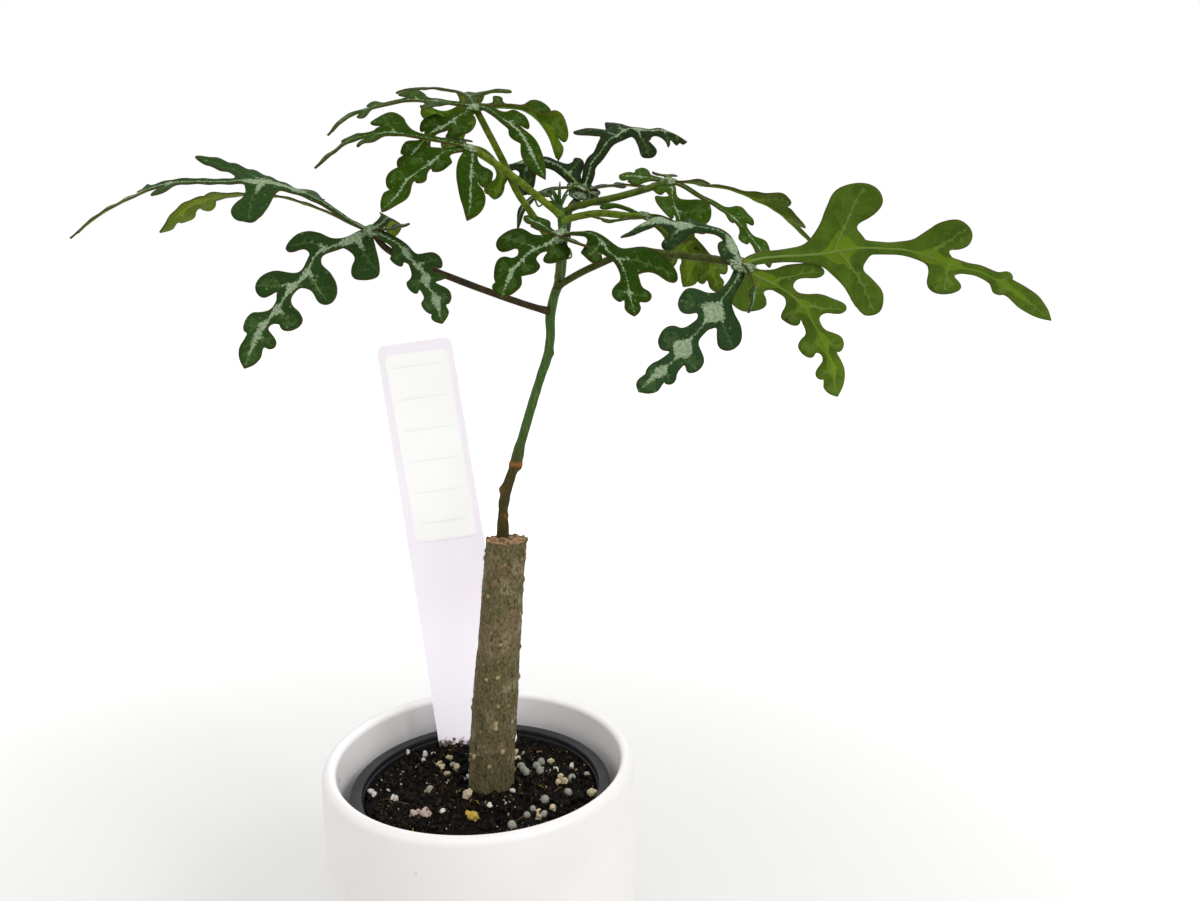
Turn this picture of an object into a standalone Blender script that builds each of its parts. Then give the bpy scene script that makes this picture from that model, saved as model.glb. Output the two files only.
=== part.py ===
"""Potted adenia: a cut trunk with one green shoot and eight lobed leaves, in a nursery pot
that stands inside a ceramic cachepot, with a plant label pushed into the soil.

The origin is the centre of the cachepot's underside, with +Z up. The places of leaves, stems
and the label are given in millimetres, and MM turns them into metres.
"""
import math
import random
from collections import namedtuple

import bmesh
import bpy
from mathutils import Euler, Matrix, Vector, geometry, noise

MM = 0.001
GAP = 0.3

# Cachepot
CACHEPOT_RADIUS = 62.5
CACHEPOT_HEIGHT = 112.0
CACHEPOT_WALL = 5.5
CACHEPOT_FLOOR = 6.0
CACHEPOT_FOOT_ROUND = 5.0
CACHEPOT_TURNS = 44

# Nursery pot, pushed towards the front of the cachepot
POT_CENTRE = (0.7, -4.2)
POT_RIM_RADIUS = 52.0
POT_FLOOR_RADIUS = 38.0
POT_HEIGHT = 94.7
POT_WALL = 1.3
POT_LIP = 3.4
POT_LIP_DEPTH = 7.0
POT_LIP_ROUND = 1.0
POT_LIP_TAPER = 0.4
POT_FOOT_ROUND = 2.0
POT_TURNS = 36
POT_BASE_Z = CACHEPOT_FLOOR + GAP
POT_RIM_Z = POT_BASE_Z + POT_HEIGHT
DRAIN_HOLES = 6
DRAIN_RADIUS = 3.0
DRAIN_CIRCLE = 24.0

# Soil and what lies on it
SOIL_TOP_Z = 97.3
SOIL_TURNS = 24
SOIL_RING = 8.0
SOIL_ROUGHNESS = 1.1
PRILLS = 24
PRILL_RADIUS = 1.75
CRUMBS = 14

# Trunk: a cut piece of stem, slightly tapered, that leans to the right
TRUNK_AXIS = [(3.2, 1.5, 52), (3.4, 1.5, 85), (3.8, 1.5, 100), (5.5, 1.5, 128), (8.2, 1.5, 160),
              (11.7, 1.5, 201)]
TRUNK_RADII = [8.6, 9.3, 9.4, 9.0, 8.4, 8.0]
TRUNK_RIDGES = 0.35
TRUNK_WARTS = 16

# Shoot: the green stem that grows from the back of the cut face
SHOOT_AXIS = [(10.0, 5.4, 197.4), (10.0, 5.3, 205), (10.3, 5.0, 213), (11.6, 4.6, 220), (14.4, 4.2, 228),
              (16.4, 4.0, 234), (17.2, 3.8, 237), (18.4, 3.5, 241), (21.4, 3.0, 251), (25.2, 2.6, 263),
              (28.3, 2.2, 272), (29.7, 2.0, 280), (29.8, 2.0, 288), (31.2, 2.0, 295), (33.2, 2.0, 301),
              (34.4, 2.0, 308), (34.6, 2.0, 317), (34.2, 2.4, 325), (33.4, 2.8, 330)]
SHOOT_RADII = [2.4, 2.3, 2.0, 2.0, 2.0, 2.4, 2.2, 1.8, 1.8, 1.7, 1.8, 1.7, 1.9, 1.7, 1.8, 1.8, 1.6, 1.5, 0.9]
SHOOT_BUDS = [((9.9, 4.4, 220.5), 1.3), ((17.0, 3.4, 229.5), 1.3), ((11.7, 3.8, 210), 0.9),
              ((30.4, 1.5, 274), 1.0)]

# Young leaves and the tendril at the shoot's tip
TIP_BUDS = [((33.2, 2.8, 329), (30, 0, 335), 1.1), ((33.4, 2.6, 329), (34, -2, 337), 1.2),
            ((33.6, 3.0, 328), (37, 4, 333), 0.9), ((33.0, 3.2, 328), (28, 6, 330), 0.9)]
TENDRIL = [(33.5, 2.4, 328), (36, 0, 333), (40, -2, 336), (44, -3, 334), (45, -3, 331)]
TENDRIL_RADIUS = 0.45

# Plant label
LABEL_WIDTH = 31.5
LABEL_THICKNESS = 0.9
LABEL_LENGTH = 211.0
LABEL_CORNER = 3.5
LABEL_POINT = 31.0
LABEL_FLARE = 3.5
LABEL_TILT = math.radians(-7.9)
LABEL_FOOT = (0.2, 34.0, 68.0)
STICKER_WIDTH = 26.0
STICKER_LENGTH = 80.5
STICKER_THICKNESS = 0.3
STICKER_CORNER = 2.5
STICKER_TOP = 206.5

# Leaves: every blade is one thin sheet, arched from its rib to the tips of its teeth
BLADE_THICKNESS = 0.8
HUB_THICKNESS = 1.3
RIB_STEP = 9.0
ARCH = 0.010
RIPPLE = 0.35
RIPPLE_PITCH = 0.8
RIPPLE_START = 6.0
SPARE_REACH = 6.0
FLANK = 1.20
FILL = 1.2
NOTCH = 0.80
NOTCH_LEAN = 0.40
NOTCH_ROUND = 1.2
NOTCH_RISE = 0.95
NOTCH_RISE_POWER = 1.3
LAST_BLADE = 3.0
EDGE_CLEAR = 0.5
TOOTH_LEAN = 0.35
END_OUTLINE = ((0.20, 0.85), (0.45, 1.0), (0.80, 0.62))
PETIOLE_RADIUS = 1.3
PETIOLE_FOOT_RADIUS = 1.55
BROAD_TOOTH = 4.5
BROAD_OUTLINE = ((0.30, -0.95), (0.62, -1.05), (0.90, -0.78), (1.0, -0.10), (0.98, 0.50), (0.82, 0.98),
                 (0.60, 0.85), (0.40, 0.46))
SMALL_OUTLINE = ((0.50, -1.05), (0.86, -0.75), (1.0, 0.0), (0.84, 0.75), (0.50, 0.55))

# A lobe runs from the hub along its rib. Its left and right teeth are given by their tips and
# half widths, seen from above and looking outwards, and by their lean towards the lobe's tip
# where it isn't the usual one. End is the half width of the lobe's last blade. A leaf's web is
# the radius of the blade round its hub, and its neck the half width of a lobe between teeth.
Lobe = namedtuple("Lobe", "rib left right end")
Leaf = namedtuple("Leaf", "hub web neck petiole lobes")
LEAVES = {
    "leaf_left": Leaf(
        hub=(-35, -6, 319),
        web=3.5, neck=1.9,
        petiole=[(29, 0, 290), (19, -1, 293), (-3, -3, 301), (-27, -5, 311)],
        lobes=[
            # short right
            Lobe(rib=[(-29, -3, 320), (-25, -1, 321), (-22, 1, 322)],
                 left=[(-26, 8, 323, 3)],
                 right=[(-24, -9, 320, 3)], end=2),
            # back
            Lobe(rib=[(-33, 2, 322), (-32, 9, 325), (-32, 17, 324), (-34, 22, 318)],
                 left=[(-35, 13, 327, 3.6)],
                 right=[(-29, 12, 324, 3)], end=4),
            # left behind
            Lobe(rib=[(-43, -1, 322), (-54, 4, 327), (-69, 9, 332), (-81, 13, 334), (-96, 17, 334),
                      (-111, 20, 331), (-124, 20, 320)],
                 left=[(-102, 12, 334, 3)],
                 right=[(-107, 27, 329, 4), (-116, 27, 325, 4.5)], end=4),
            # long left
            Lobe(rib=[(-43, -5, 323), (-52, -4, 329), (-66, -2, 335), (-79, -1, 337), (-93, 1, 337),
                      (-108, 3, 337), (-121, 4, 334), (-138, 4, 326), (-150, 3, 317)],
                 left=[(-76, -16, 321, 7.6, -0.1), (-114, -6, 331, 3)],
                 right=[(-55, 5, 332, 5, -0.6), (-107, 14, 348, 4.4, 2.6), (-126, 12, 336, 3)], end=3),
            # front left
            Lobe(rib=[(-43, -8, 315), (-53, -10, 311), (-57, -14, 303), (-62, -18, 297),
                      (-66, -21, 290), (-70, -26, 284), (-74, -33, 271)],
                 left=[(-30, -14, 303, 7.2), (-47, -20, 292, 4.3), (-58, -25, 284, 4.5),
                       (-64, -29, 278, 3)],
                 right=[(-66, -9, 313, 3, 0.5), (-74, -18, 299, 4.8, 0.6),
                        (-76, -26, 285, 4.5, 0.6)], end=4.5),
            # front right
            Lobe(rib=[(-28, -7, 316), (-23, -9, 313), (-20, -11, 309), (-15, -13, 304),
                      (-13, -16, 299), (-10, -18, 295), (-7, -23, 286)],
                 left=[(-8, -10, 308, 3.5), (-6, -14, 302, 3), (-4, -18, 295, 3.5)],
                 right=[(-26, -12, 307, 4), (-20, -17, 298, 4), (-14, -21, 291, 4)], end=3.5),
        ],
    ),
    "leaf_top": Leaf(
        hub=(2, 10, 365),
        web=4.0, neck=1.7,
        petiole=[(34, 1, 310), (23, 4, 326), (17, 6, 335), (12, 8, 346), (3, 10, 363)],
        lobes=[
            # back right
            Lobe(rib=[(7, 14, 366), (13, 20, 367), (19, 25, 367), (25, 28, 363), (29, 28, 357),
                      (32, 27, 348)],
                 left=[(9, 23, 372, 2.5), (29, 37, 370, 3)],
                 right=[(36, 26, 361, 5.5)], end=4),
            # back
            Lobe(rib=[(-1, 20, 370), (-4, 31, 374), (-7, 42, 376), (-8, 51, 373), (-9, 57, 369),
                      (-14, 58, 361)],
                 left=[(-34, 36, 375, 3.5), (-26, 50, 372, 4.5)],
                 right=[(14, 34, 376, 4), (1, 48, 376, 4.5), (-6, 60, 365, 4)], end=4),
            # left
            Lobe(rib=[(-4, 10, 366), (-13, 9, 367), (-22, 8, 367), (-28, 7, 366), (-39, 6, 363),
                      (-47, 5, 359), (-52, 4, 354)],
                 left=[(-15, -3, 362, 4), (-38, -3, 359, 3)],
                 right=[(-24, 16, 372, 4.5), (-38, 13, 367, 3)], end=3),
            # front left
            Lobe(rib=[(-2, 6, 362), (-8, 3, 357), (-12, 1, 355), (-16, 0, 351), (-20, -1, 346),
                      (-24, -3, 340)],
                 left=[(-2, 0, 353, 5), (-14, -2, 343, 4)],
                 right=[(-16, 4, 360, 5), (-25, 3, 349, 3)], end=4.5),
            # front right
            Lobe(rib=[(7, 7, 364), (14, 4, 359), (19, 2, 355), (22, 0, 350), (25, -3, 344),
                      (29, -6, 337)],
                 left=[(21, 6, 361, 5)],
                 right=[(17, 0, 352, 4)], end=4.2),
        ],
    ),
    "leaf_second": Leaf(
        hub=(3, -12, 347),
        web=3.0, neck=1.6,
        petiole=[(34, 0, 325), (29, -2, 329), (16, -8, 339), (5, -11, 346)],
        lobes=[
            # back right
            Lobe(rib=[(7, -6, 346), (10, 0, 343), (12, 3, 339), (9, 4, 331)],
                 left=[(5, 5, 335, 3)],
                 right=[(14, 6, 339, 3)], end=4),
            # back
            Lobe(rib=[(-1, -4, 350), (-4, 6, 353), (-8, 14, 353), (-11, 20, 350)],
                 left=[(-10, 5, 353, 4)],
                 right=[(0, 10, 353, 4)], end=4),
            # long left
            Lobe(rib=[(-5, -12, 349), (-11, -12, 350), (-17, -12, 351), (-25, -12, 352),
                      (-34, -12, 351), (-42, -13, 348), (-52, -14, 340)],
                 left=[(-35, -21, 346, 3, 1)],
                 right=[(-30, -4, 360, 5.2, 0.5), (-43, -6, 351, 3)], end=3.5),
            # front left
            Lobe(rib=[(-2, -14, 346), (-6, -16, 345), (-10, -18, 341), (-15, -21, 337),
                      (-18, -23, 334), (-21, -25, 329), (-26, -27, 324)],
                 left=[(-5, -20, 339, 4.5), (-12, -26, 334, 3)],
                 right=[(-18, -15, 344, 6), (-25, -21, 336, 5)], end=5),
            # front
            Lobe(rib=[(4, -15, 344), (4, -19, 339), (4, -22, 333), (4, -24, 327), (3, -26, 321)],
                 left=[(11, -19, 335, 4.5)],
                 right=[], end=5.5),
        ],
    ),
    "leaf_back": Leaf(
        hub=(42, 22, 336),
        web=6.5, neck=2.6,
        petiole=[(34, 2, 310), (36, 12, 321), (37, 17, 329), (41, 21, 334)],
        lobes=[
            # right
            Lobe(rib=[(48, 25, 338), (57, 28, 339), (65, 30, 339), (73, 31, 338)],
                 left=[(60, 42, 341, 4)],
                 right=[(58, 18, 337, 4)], end=3),
            # tall
            Lobe(rib=[(44, 24, 342), (45, 27, 347), (48, 31, 351), (52, 35, 357), (56, 39, 360),
                      (61, 43, 363), (69, 47, 363), (77, 50, 363), (85, 52, 359)],
                 left=[(37, 44, 362, 3, -0.3), (55, 60, 368, 3)],
                 right=[(69, 42, 351, 4.5), (77, 45, 356, 2.5), (82, 49, 356, 2)], end=2.5),
            # left
            Lobe(rib=[(39, 24, 340), (35, 26, 344), (31, 28, 347), (26, 30, 349), (21, 31, 349),
                      (11, 32, 347)],
                 left=[(18, 28, 335, 5)],
                 right=[(41, 37, 350, 3)], end=3),
            # front left
            Lobe(rib=[(38, 20, 337), (34, 18, 337), (27, 16, 335), (22, 14, 332), (19, 13, 328),
                      (17, 12, 321)],
                 left=[(29, 7, 332, 3)],
                 right=[(21, 22, 335, 3)], end=3),
            # short front
            Lobe(rib=[(45, 19, 335), (48, 15, 333)],
                 left=[],
                 right=[], end=2),
        ],
    ),
    "leaf_back_right": Leaf(
        hub=(75, 15, 339),
        web=3.2, neck=1.5,
        petiole=[(34, 4, 326), (41, 4, 329), (55, 4, 332), (68, 9, 336)],
        lobes=[
            # long right
            Lobe(rib=[(83, 17, 339), (90, 19, 338), (99, 21, 337), (105, 22, 335), (112, 23, 332),
                      (118, 24, 329), (127, 25, 322), (134, 26, 315)],
                 left=[],
                 right=[(90, 11, 338, 3), (122, 14, 332, 4.5, 0.9), (128, 16, 322, 4, 0.7)], end=2.5),
            # back
            Lobe(rib=[(75, 21, 341), (74, 28, 343), (71, 36, 344)],
                 left=[(69, 28, 344, 3)],
                 right=[(79, 30, 343, 3)], end=3),
            # left
            Lobe(rib=[(70, 17, 340), (64, 20, 341), (56, 24, 342)],
                 left=[(60, 15, 338, 4)],
                 right=[(65, 27, 345, 3.5)], end=4),
            # front
            Lobe(rib=[(76, 12, 336), (76, 8, 332), (77, 4, 327), (79, 1, 321), (80, -2, 315)],
                 left=[(90, 1, 327, 5), (88, -3, 319, 4.5)],
                 right=[(68, 9, 336, 4.5), (71, -4, 327, 5)], end=4.5),
            # front right
            Lobe(rib=[(80, 13, 337), (86, 11, 333), (93, 9, 329), (98, 7, 325), (103, 5, 320),
                      (106, 3, 316), (112, 0, 306)],
                 left=[(106, 12, 326, 5), (113, 6, 313, 4)],
                 right=[(97, 2, 323, 2.5), (101, -2, 315, 3)], end=3.5),
        ],
    ),
    "leaf_centre": Leaf(
        hub=(66, 4, 325),
        web=3.0, neck=1.5,
        petiole=[(34, 2, 323), (41, 3, 325), (49, 3, 326), (60, 3, 325)],
        lobes=[
            # right
            Lobe(rib=[(73, 9, 324), (81, 14, 320), (88, 18, 313), (92, 20, 306), (96, 20, 297)],
                 left=[(87, 16, 301, 4)],
                 right=[(100, 24, 307, 4)], end=4),
            # left behind
            Lobe(rib=[(60, 8, 328), (54, 11, 330), (47, 14, 331), (40, 15, 329)],
                 left=[(49, 9, 328, 3)],
                 right=[(50, 21, 331, 3)], end=3),
            # left
            Lobe(rib=[(60, -1, 324), (52, -4, 323), (43, -5, 325)],
                 left=[(51, -10, 322, 3)],
                 right=[], end=2.5),
            # front
            Lobe(rib=[(69, 5, 323), (74, 7, 319), (78, 10, 315), (83, 12, 310), (83, 13, 305),
                      (81, 13, 299)],
                 left=[(75, 9, 306, 4)],
                 right=[(86, 13, 317, 2.8), (91, 15, 306, 3.8)], end=5),
        ],
    ),
    "leaf_front": Leaf(
        hub=(35, -26, 316),
        web=3.5, neck=1.7,
        petiole=[(33, -1, 302), (34, -12, 308), (35, -22, 313)],
        lobes=[
            # right
            Lobe(rib=[(39, -27, 317), (44, -28, 317), (48, -30, 315), (52, -33, 310), (55, -35, 307),
                      (57, -37, 303), (58, -40, 298), (60, -44, 289)],
                 left=[(76, -30, 301, 4.4), (66, -40, 295, 3)],
                 right=[(44, -34, 308, 5), (53, -43, 295, 3.5)], end=3),
            # left behind
            Lobe(rib=[(31, -24, 318), (28, -22, 320), (22, -20, 323)],
                 left=[(25, -26, 319, 3)],
                 right=[(28, -16, 323, 3)], end=3.5),
            # left
            Lobe(rib=[(32, -28, 314), (29, -30, 312), (25, -32, 310), (22, -35, 307), (19, -38, 303),
                      (16, -41, 295)],
                 left=[(35, -31, 307, 5), (26, -37, 303, 5)],
                 right=[(14.5, -28, 315.5, 5), (13, -36, 304, 5)], end=5),
            # short front
            Lobe(rib=[(39, -29, 314), (42, -31, 313), (45, -33, 312)],
                 left=[],
                 right=[], end=2.5),
        ],
    ),
    "leaf_right": Leaf(
        hub=(97, -30, 306),
        web=5.0, neck=2.1,
        petiole=[(32, 0, 298), (36, -4, 301), (46, -11, 306), (60, -18, 311), (73, -22, 310),
                 (88, -27, 308)],
        lobes=[
            # long right
            Lobe(rib=[(102, -28, 308), (109, -27, 309), (124, -25, 310), (137, -23, 312),
                      (148, -22, 312), (158, -21, 311), (175, -19, 306), (184, -18, 304),
                      (197, -17, 297), (211, -16, 287)],
                 left=[(147, -19, 289, 6.4, 0.75), (171, -17, 296, 6, 0.3), (192, -15, 296, 3.2, 0.6)],
                 right=[(138, -31, 333, 8.8, 0.4), (175, -27, 319, 7, 0.55), (194, -20, 303, 2.5)], end=4),
            # right down
            Lobe(rib=[(102, -26, 303), (107, -23, 301), (115, -20, 297), (121, -18, 292),
                      (124, -17, 288), (129, -15, 280), (133, -14, 270), (136, -13, 259)],
                 left=[(101, -18, 290, 7), (116, -14, 286, 4.6, 0.5), (122, -13, 275, 4.5, 0.35),
                       (128, -12, 266, 3)],
                 right=[(128, -22, 304, 3.4, 0.9), (137, -19, 291, 3.4, 0.7),
                        (137, -16, 278, 3.6, 0.5)], end=4.6),
            # back left
            Lobe(rib=[(95, -28, 310), (93, -26, 315), (89, -24, 318), (85, -22, 319), (79, -20, 320),
                      (74, -18, 321), (67, -16, 322), (56, -15, 316)],
                 left=[(89, -28, 311, 5, 0.1), (71, -21, 311, 3.5)],
                 right=[(81, -11, 323, 3)], end=3),
            # front left
            Lobe(rib=[(96, -32, 304), (94, -34, 300), (90, -37, 295), (87, -39, 291), (82, -42, 285),
                      (78, -44, 281), (73, -47, 275), (68, -49, 271), (61, -52, 265)],
                 left=[(93, -43, 278, 4.8, 0.6), (81, -47, 271, 4.4, 0.35), (72, -50, 267, 3)],
                 right=[(75, -38, 295, 5.5, 0.3), (68, -43, 282, 4.8, 0.35), (64, -46, 272, 3.5)], end=4.5),
            # short front
            Lobe(rib=[(99, -33, 303), (100, -35, 300), (100, -37, 295), (98, -39, 290)],
                 left=[(101, -31, 297, 3)],
                 right=[(98, -44, 297, 3)], end=2.5),
        ],
    ),
}

PART = bpy.data.collections.new("potted_adenia")
CUTTERS = bpy.data.collections.new("cutters")


def clear_scene():
    """Removes what the scene already holds and links this object's collections."""
    for obj in list(bpy.data.objects):
        bpy.data.objects.remove(obj, do_unlink=True)
    for collection in (PART, CUTTERS):
        bpy.context.scene.collection.children.link(collection)


def material(name, color, roughness, metallic=0.0):
    mat = bpy.data.materials.new(name)
    mat.use_nodes = True
    shader = mat.node_tree.nodes["Principled BSDF"]
    shader.inputs["Base Color"].default_value = (*color, 1.0)
    shader.inputs["Roughness"].default_value = roughness
    shader.inputs["Metallic"].default_value = metallic
    return mat


def add_object(name, data, mat=None, cutter=False):
    obj = bpy.data.objects.new(name, data)
    (CUTTERS if cutter else PART).objects.link(obj)
    if cutter:
        obj.hide_render = True
        obj.display_type = "WIRE"
    if mat:
        data.materials.clear()
        data.materials.append(mat)
    return obj


def mesh_from(bm, name):
    mesh = bpy.data.meshes.new(name)
    bm.to_mesh(mesh)
    bm.free()
    return mesh


def apply_modifiers(obj):
    """Bakes an object's modifiers into its mesh."""
    bpy.context.view_layer.update()
    evaluated = obj.evaluated_get(bpy.context.evaluated_depsgraph_get())
    mesh = bpy.data.meshes.new_from_object(evaluated)
    obj.modifiers.clear()
    obj.data = mesh
    return obj


def boolean(obj, other, operation, solver="EXACT"):
    cut = obj.modifiers.new(operation.lower(), "BOOLEAN")
    cut.operation = operation
    cut.object = other
    cut.solver = solver
    apply_modifiers(obj)
    bpy.data.objects.remove(other, do_unlink=True)


def join_all(obj, extras, solver="EXACT"):
    """Fuses a list of closed meshes into obj with one union on their collection."""
    group = bpy.data.collections.new(obj.name + "_extras")
    bpy.context.scene.collection.children.link(group)
    for extra in extras:
        CUTTERS.objects.unlink(extra)
        group.objects.link(extra)
    union = obj.modifiers.new("union", "BOOLEAN")
    union.operation = "UNION"
    union.operand_type = "COLLECTION"
    union.collection = group
    union.solver = solver
    apply_modifiers(obj)
    for extra in extras:
        bpy.data.objects.remove(extra, do_unlink=True)
    bpy.data.collections.remove(group)


def smooth_shade(obj, angle=40.0):
    obj.data.shade_smooth()
    obj.data.set_sharp_from_angle(angle=math.radians(angle))


def turned(name, profile, turns, mat, centre=(0.0, 0.0)):
    """A profile of (radius, height) in millimetres, turned about a vertical axis."""
    bm = bmesh.new()
    verts = [bm.verts.new((r * MM, 0.0, z * MM)) for r, z in profile]
    for first, second in zip(verts, verts[1:]):
        bm.edges.new((first, second))
    obj = add_object(name, mesh_from(bm, name), mat)
    screw = obj.modifiers.new("turn", "SCREW")
    screw.steps = turns
    screw.render_steps = turns
    screw.use_merge_vertices = True
    screw.merge_threshold = 0.00005
    apply_modifiers(obj)
    obj.data.transform(Matrix.Translation((centre[0] * MM, centre[1] * MM, 0.0)))
    return obj


def arc(centre_r, centre_z, radius, start, end, steps):
    """Points of a quarter round or half round in a profile, with angles in degrees."""
    points = []
    for step in range(steps + 1):
        angle = math.radians(start + (end - start) * step / steps)
        points.append((centre_r + radius * math.cos(angle), centre_z + radius * math.sin(angle)))
    return points


def catmull(points, per_span):
    """A smooth path through the points, with per_span steps between neighbours."""
    points = [Vector(p) for p in points]
    padded = [2 * points[0] - points[1]] + points + [2 * points[-1] - points[-2]]
    path = []
    for a, b, c, d in zip(padded, padded[1:], padded[2:], padded[3:]):
        for step in range(per_span):
            t = step / per_span
            path.append(0.5 * (2 * b + (c - a) * t + (2 * a - 5 * b + 4 * c - d) * t * t
                               + (3 * b - a - 3 * c + d) * t ** 3))
    path.append(points[-1])
    return path


def solid_mesh(guide):
    """The closed mesh of a filled curve, whose object is then removed."""
    bpy.context.view_layer.update()
    mesh = bpy.data.meshes.new_from_object(guide.evaluated_get(bpy.context.evaluated_depsgraph_get()))
    bpy.data.objects.remove(guide, do_unlink=True)
    bm = bmesh.new()
    bm.from_mesh(mesh)
    bmesh.ops.remove_doubles(bm, verts=bm.verts, dist=0.00002)
    bmesh.ops.recalc_face_normals(bm, faces=bm.faces)
    bm.to_mesh(mesh)
    bm.free()
    return mesh


def tube(name, points, radii, sides, mat=None):
    """A closed tube through the points in millimetres: a cutter where it is given no material."""
    curve = bpy.data.curves.new(name, "CURVE")
    curve.dimensions = "3D"
    curve.bevel_depth = MM
    curve.bevel_resolution = (sides - 4) // 2
    curve.use_fill_caps = True
    curve.twist_mode = "MINIMUM"
    spline = curve.splines.new("POLY")
    spline.points.add(len(points) - 1)
    for target, place, radius in zip(spline.points, points, radii):
        target.co = (*(Vector(place) * MM), 1.0)
        target.radius = radius
    guide = add_object(name + "_path", curve, cutter=True)
    return add_object(name, solid_mesh(guide), mat, cutter=mat is None)


def spread(values, per_span):
    """Radii for the extra points that a smooth path has between the given ones."""
    wide = []
    for first, second in zip(values, values[1:]):
        wide += [first + (second - first) * step / per_span for step in range(per_span)]
    return wide + [values[-1]]


def pebble(name, place, scale, turn, mat=None):
    """A rounded lump with its own length, width and height in millimetres."""
    bm = bmesh.new()
    bmesh.ops.create_icosphere(bm, subdivisions=1, radius=MM)
    turned_scale = turn.to_matrix().to_4x4() @ Matrix.Diagonal((*scale, 1.0))
    shape = Matrix.Translation(Vector(place) * MM) @ turned_scale
    bmesh.ops.transform(bm, matrix=shape, verts=bm.verts)
    return add_object(name, mesh_from(bm, name), mat, cutter=mat is None)


def spike(name, start, end, radius):
    """A slim bud: a spindle from start to end, widest at a third of its length."""
    start, end = Vector(start), Vector(end)
    places = [start, start.lerp(end, 0.35), start.lerp(end, 0.75), end]
    return tube(name, places, [radius * 0.6, radius, radius * 0.7, radius * 0.15], 6)


def make_cachepot():
    """A straight white pot with a thick rounded rim and a flat underside."""
    outer, inner = CACHEPOT_RADIUS, CACHEPOT_RADIUS - CACHEPOT_WALL
    lip = CACHEPOT_WALL / 2
    outside = arc(outer - CACHEPOT_FOOT_ROUND, CACHEPOT_FOOT_ROUND, CACHEPOT_FOOT_ROUND, 0, -90, 2)
    inside = arc(inner - CACHEPOT_FOOT_ROUND, CACHEPOT_FLOOR + CACHEPOT_FOOT_ROUND,
                 CACHEPOT_FOOT_ROUND, -90, 0, 2)
    rim = arc(outer - lip, CACHEPOT_HEIGHT - lip, lip, 180, 0, 5)
    points = [(0.0, CACHEPOT_FLOOR)] + inside + rim + outside + [(0.0, 0.0)]
    white = material("white_ceramic", (0.86, 0.86, 0.84), 0.35)
    return smooth_shade(turned("cachepot", points, CACHEPOT_TURNS, white))


def pot_radius(height):
    """Outer radius of the nursery pot's wall at a height above its underside."""
    return POT_FLOOR_RADIUS + (POT_RIM_RADIUS - POT_LIP - POT_FLOOR_RADIUS) * height / POT_HEIGHT


def make_nursery_pot():
    """A thin tapered black pot with a turned-down lip and drain holes."""
    base, top = POT_BASE_Z, POT_RIM_Z
    inner_top = pot_radius(POT_HEIGHT) - POT_WALL
    lip, foot, lip_low = POT_LIP_ROUND, POT_FOOT_ROUND, POT_HEIGHT - POT_LIP_DEPTH
    lip_edge = POT_RIM_RADIUS - POT_LIP_TAPER
    profile = [(0.0, base + POT_WALL), (pot_radius(0) - POT_WALL - foot / 2, base + POT_WALL),
               (pot_radius(foot) - POT_WALL, base + foot + POT_WALL), (inner_top, top - lip),
               (inner_top + lip, top), (POT_RIM_RADIUS - lip, top), (POT_RIM_RADIUS, top - lip),
               (lip_edge, base + lip_low), (lip_edge - POT_WALL, base + lip_low),
               (pot_radius(lip_low) + POT_WALL / 2, base + lip_low + POT_WALL),
               (pot_radius(lip_low - POT_LIP), base + lip_low - POT_LIP),
               (pot_radius(foot), base + foot), (pot_radius(0) - foot, base), (0.0, base)]
    black = material("black_plastic", (0.015, 0.015, 0.017), 0.45)
    pot = turned("nursery_pot", profile, POT_TURNS, black, POT_CENTRE)
    for hole in range(DRAIN_HOLES):
        angle = math.tau * hole / DRAIN_HOLES
        x = POT_CENTRE[0] + DRAIN_CIRCLE * math.cos(angle)
        y = POT_CENTRE[1] + DRAIN_CIRCLE * math.sin(angle)
        drill = tube("drain", [(x, y, base - 2), (x, y, base + POT_WALL + 2)], [DRAIN_RADIUS] * 2, 10)
        boolean(pot, drill, "DIFFERENCE")
    return smooth_shade(pot)


def trunk_place(height):
    """Centre and radius of the trunk at a height in millimetres."""
    for low, high, r_low, r_high in zip(TRUNK_AXIS, TRUNK_AXIS[1:], TRUNK_RADII, TRUNK_RADII[1:]):
        if height <= high[2]:
            t = max(0.0, (height - low[2]) / (high[2] - low[2]))
            return Vector(low).lerp(Vector(high), t), r_low + (r_high - r_low) * t
    return Vector(TRUNK_AXIS[-1]), TRUNK_RADII[-1]


def trunk_cutter(name, gap, top):
    """The trunk's buried stretch, widened by a gap, as a cutter for its hole."""
    places, radii = [], []
    for point, radius in zip(TRUNK_AXIS, TRUNK_RADII):
        if point[2] < top:
            places.append(Vector(point))
            radii.append(radius + gap + TRUNK_RIDGES)
    places[0] = places[0] - Vector((0, 0, gap))
    centre, radius = trunk_place(top)
    return tube(name, places + [centre], radii + [radius + gap + TRUNK_RIDGES], 20)


def label_matrix():
    """Places the label's flat outline: its length runs up, leaning to the left."""
    stand = Matrix.Rotation(math.pi / 2, 4, "X")
    return Matrix.Translation(Vector(LABEL_FOOT) * MM) @ Matrix.Rotation(LABEL_TILT, 4, "Y") @ stand


def plate(name, outline, thickness, matrix, mat=None):
    """A flat outline in millimetres, made as thick as given, and stood in its place."""
    curve = bpy.data.curves.new(name, "CURVE")
    curve.dimensions = "2D"
    curve.fill_mode = "BOTH"
    curve.extrude = thickness * MM / 2
    spline = curve.splines.new("POLY")
    spline.points.add(len(outline) - 1)
    for target, (x, y) in zip(spline.points, outline):
        target.co = (x * MM, y * MM, 0.0, 1.0)
    spline.use_cyclic_u = True
    guide = add_object(name + "_outline", curve, cutter=True)
    mesh = solid_mesh(guide)
    mesh.transform(matrix)
    return add_object(name, mesh, mat, cutter=mat is None)


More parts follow.
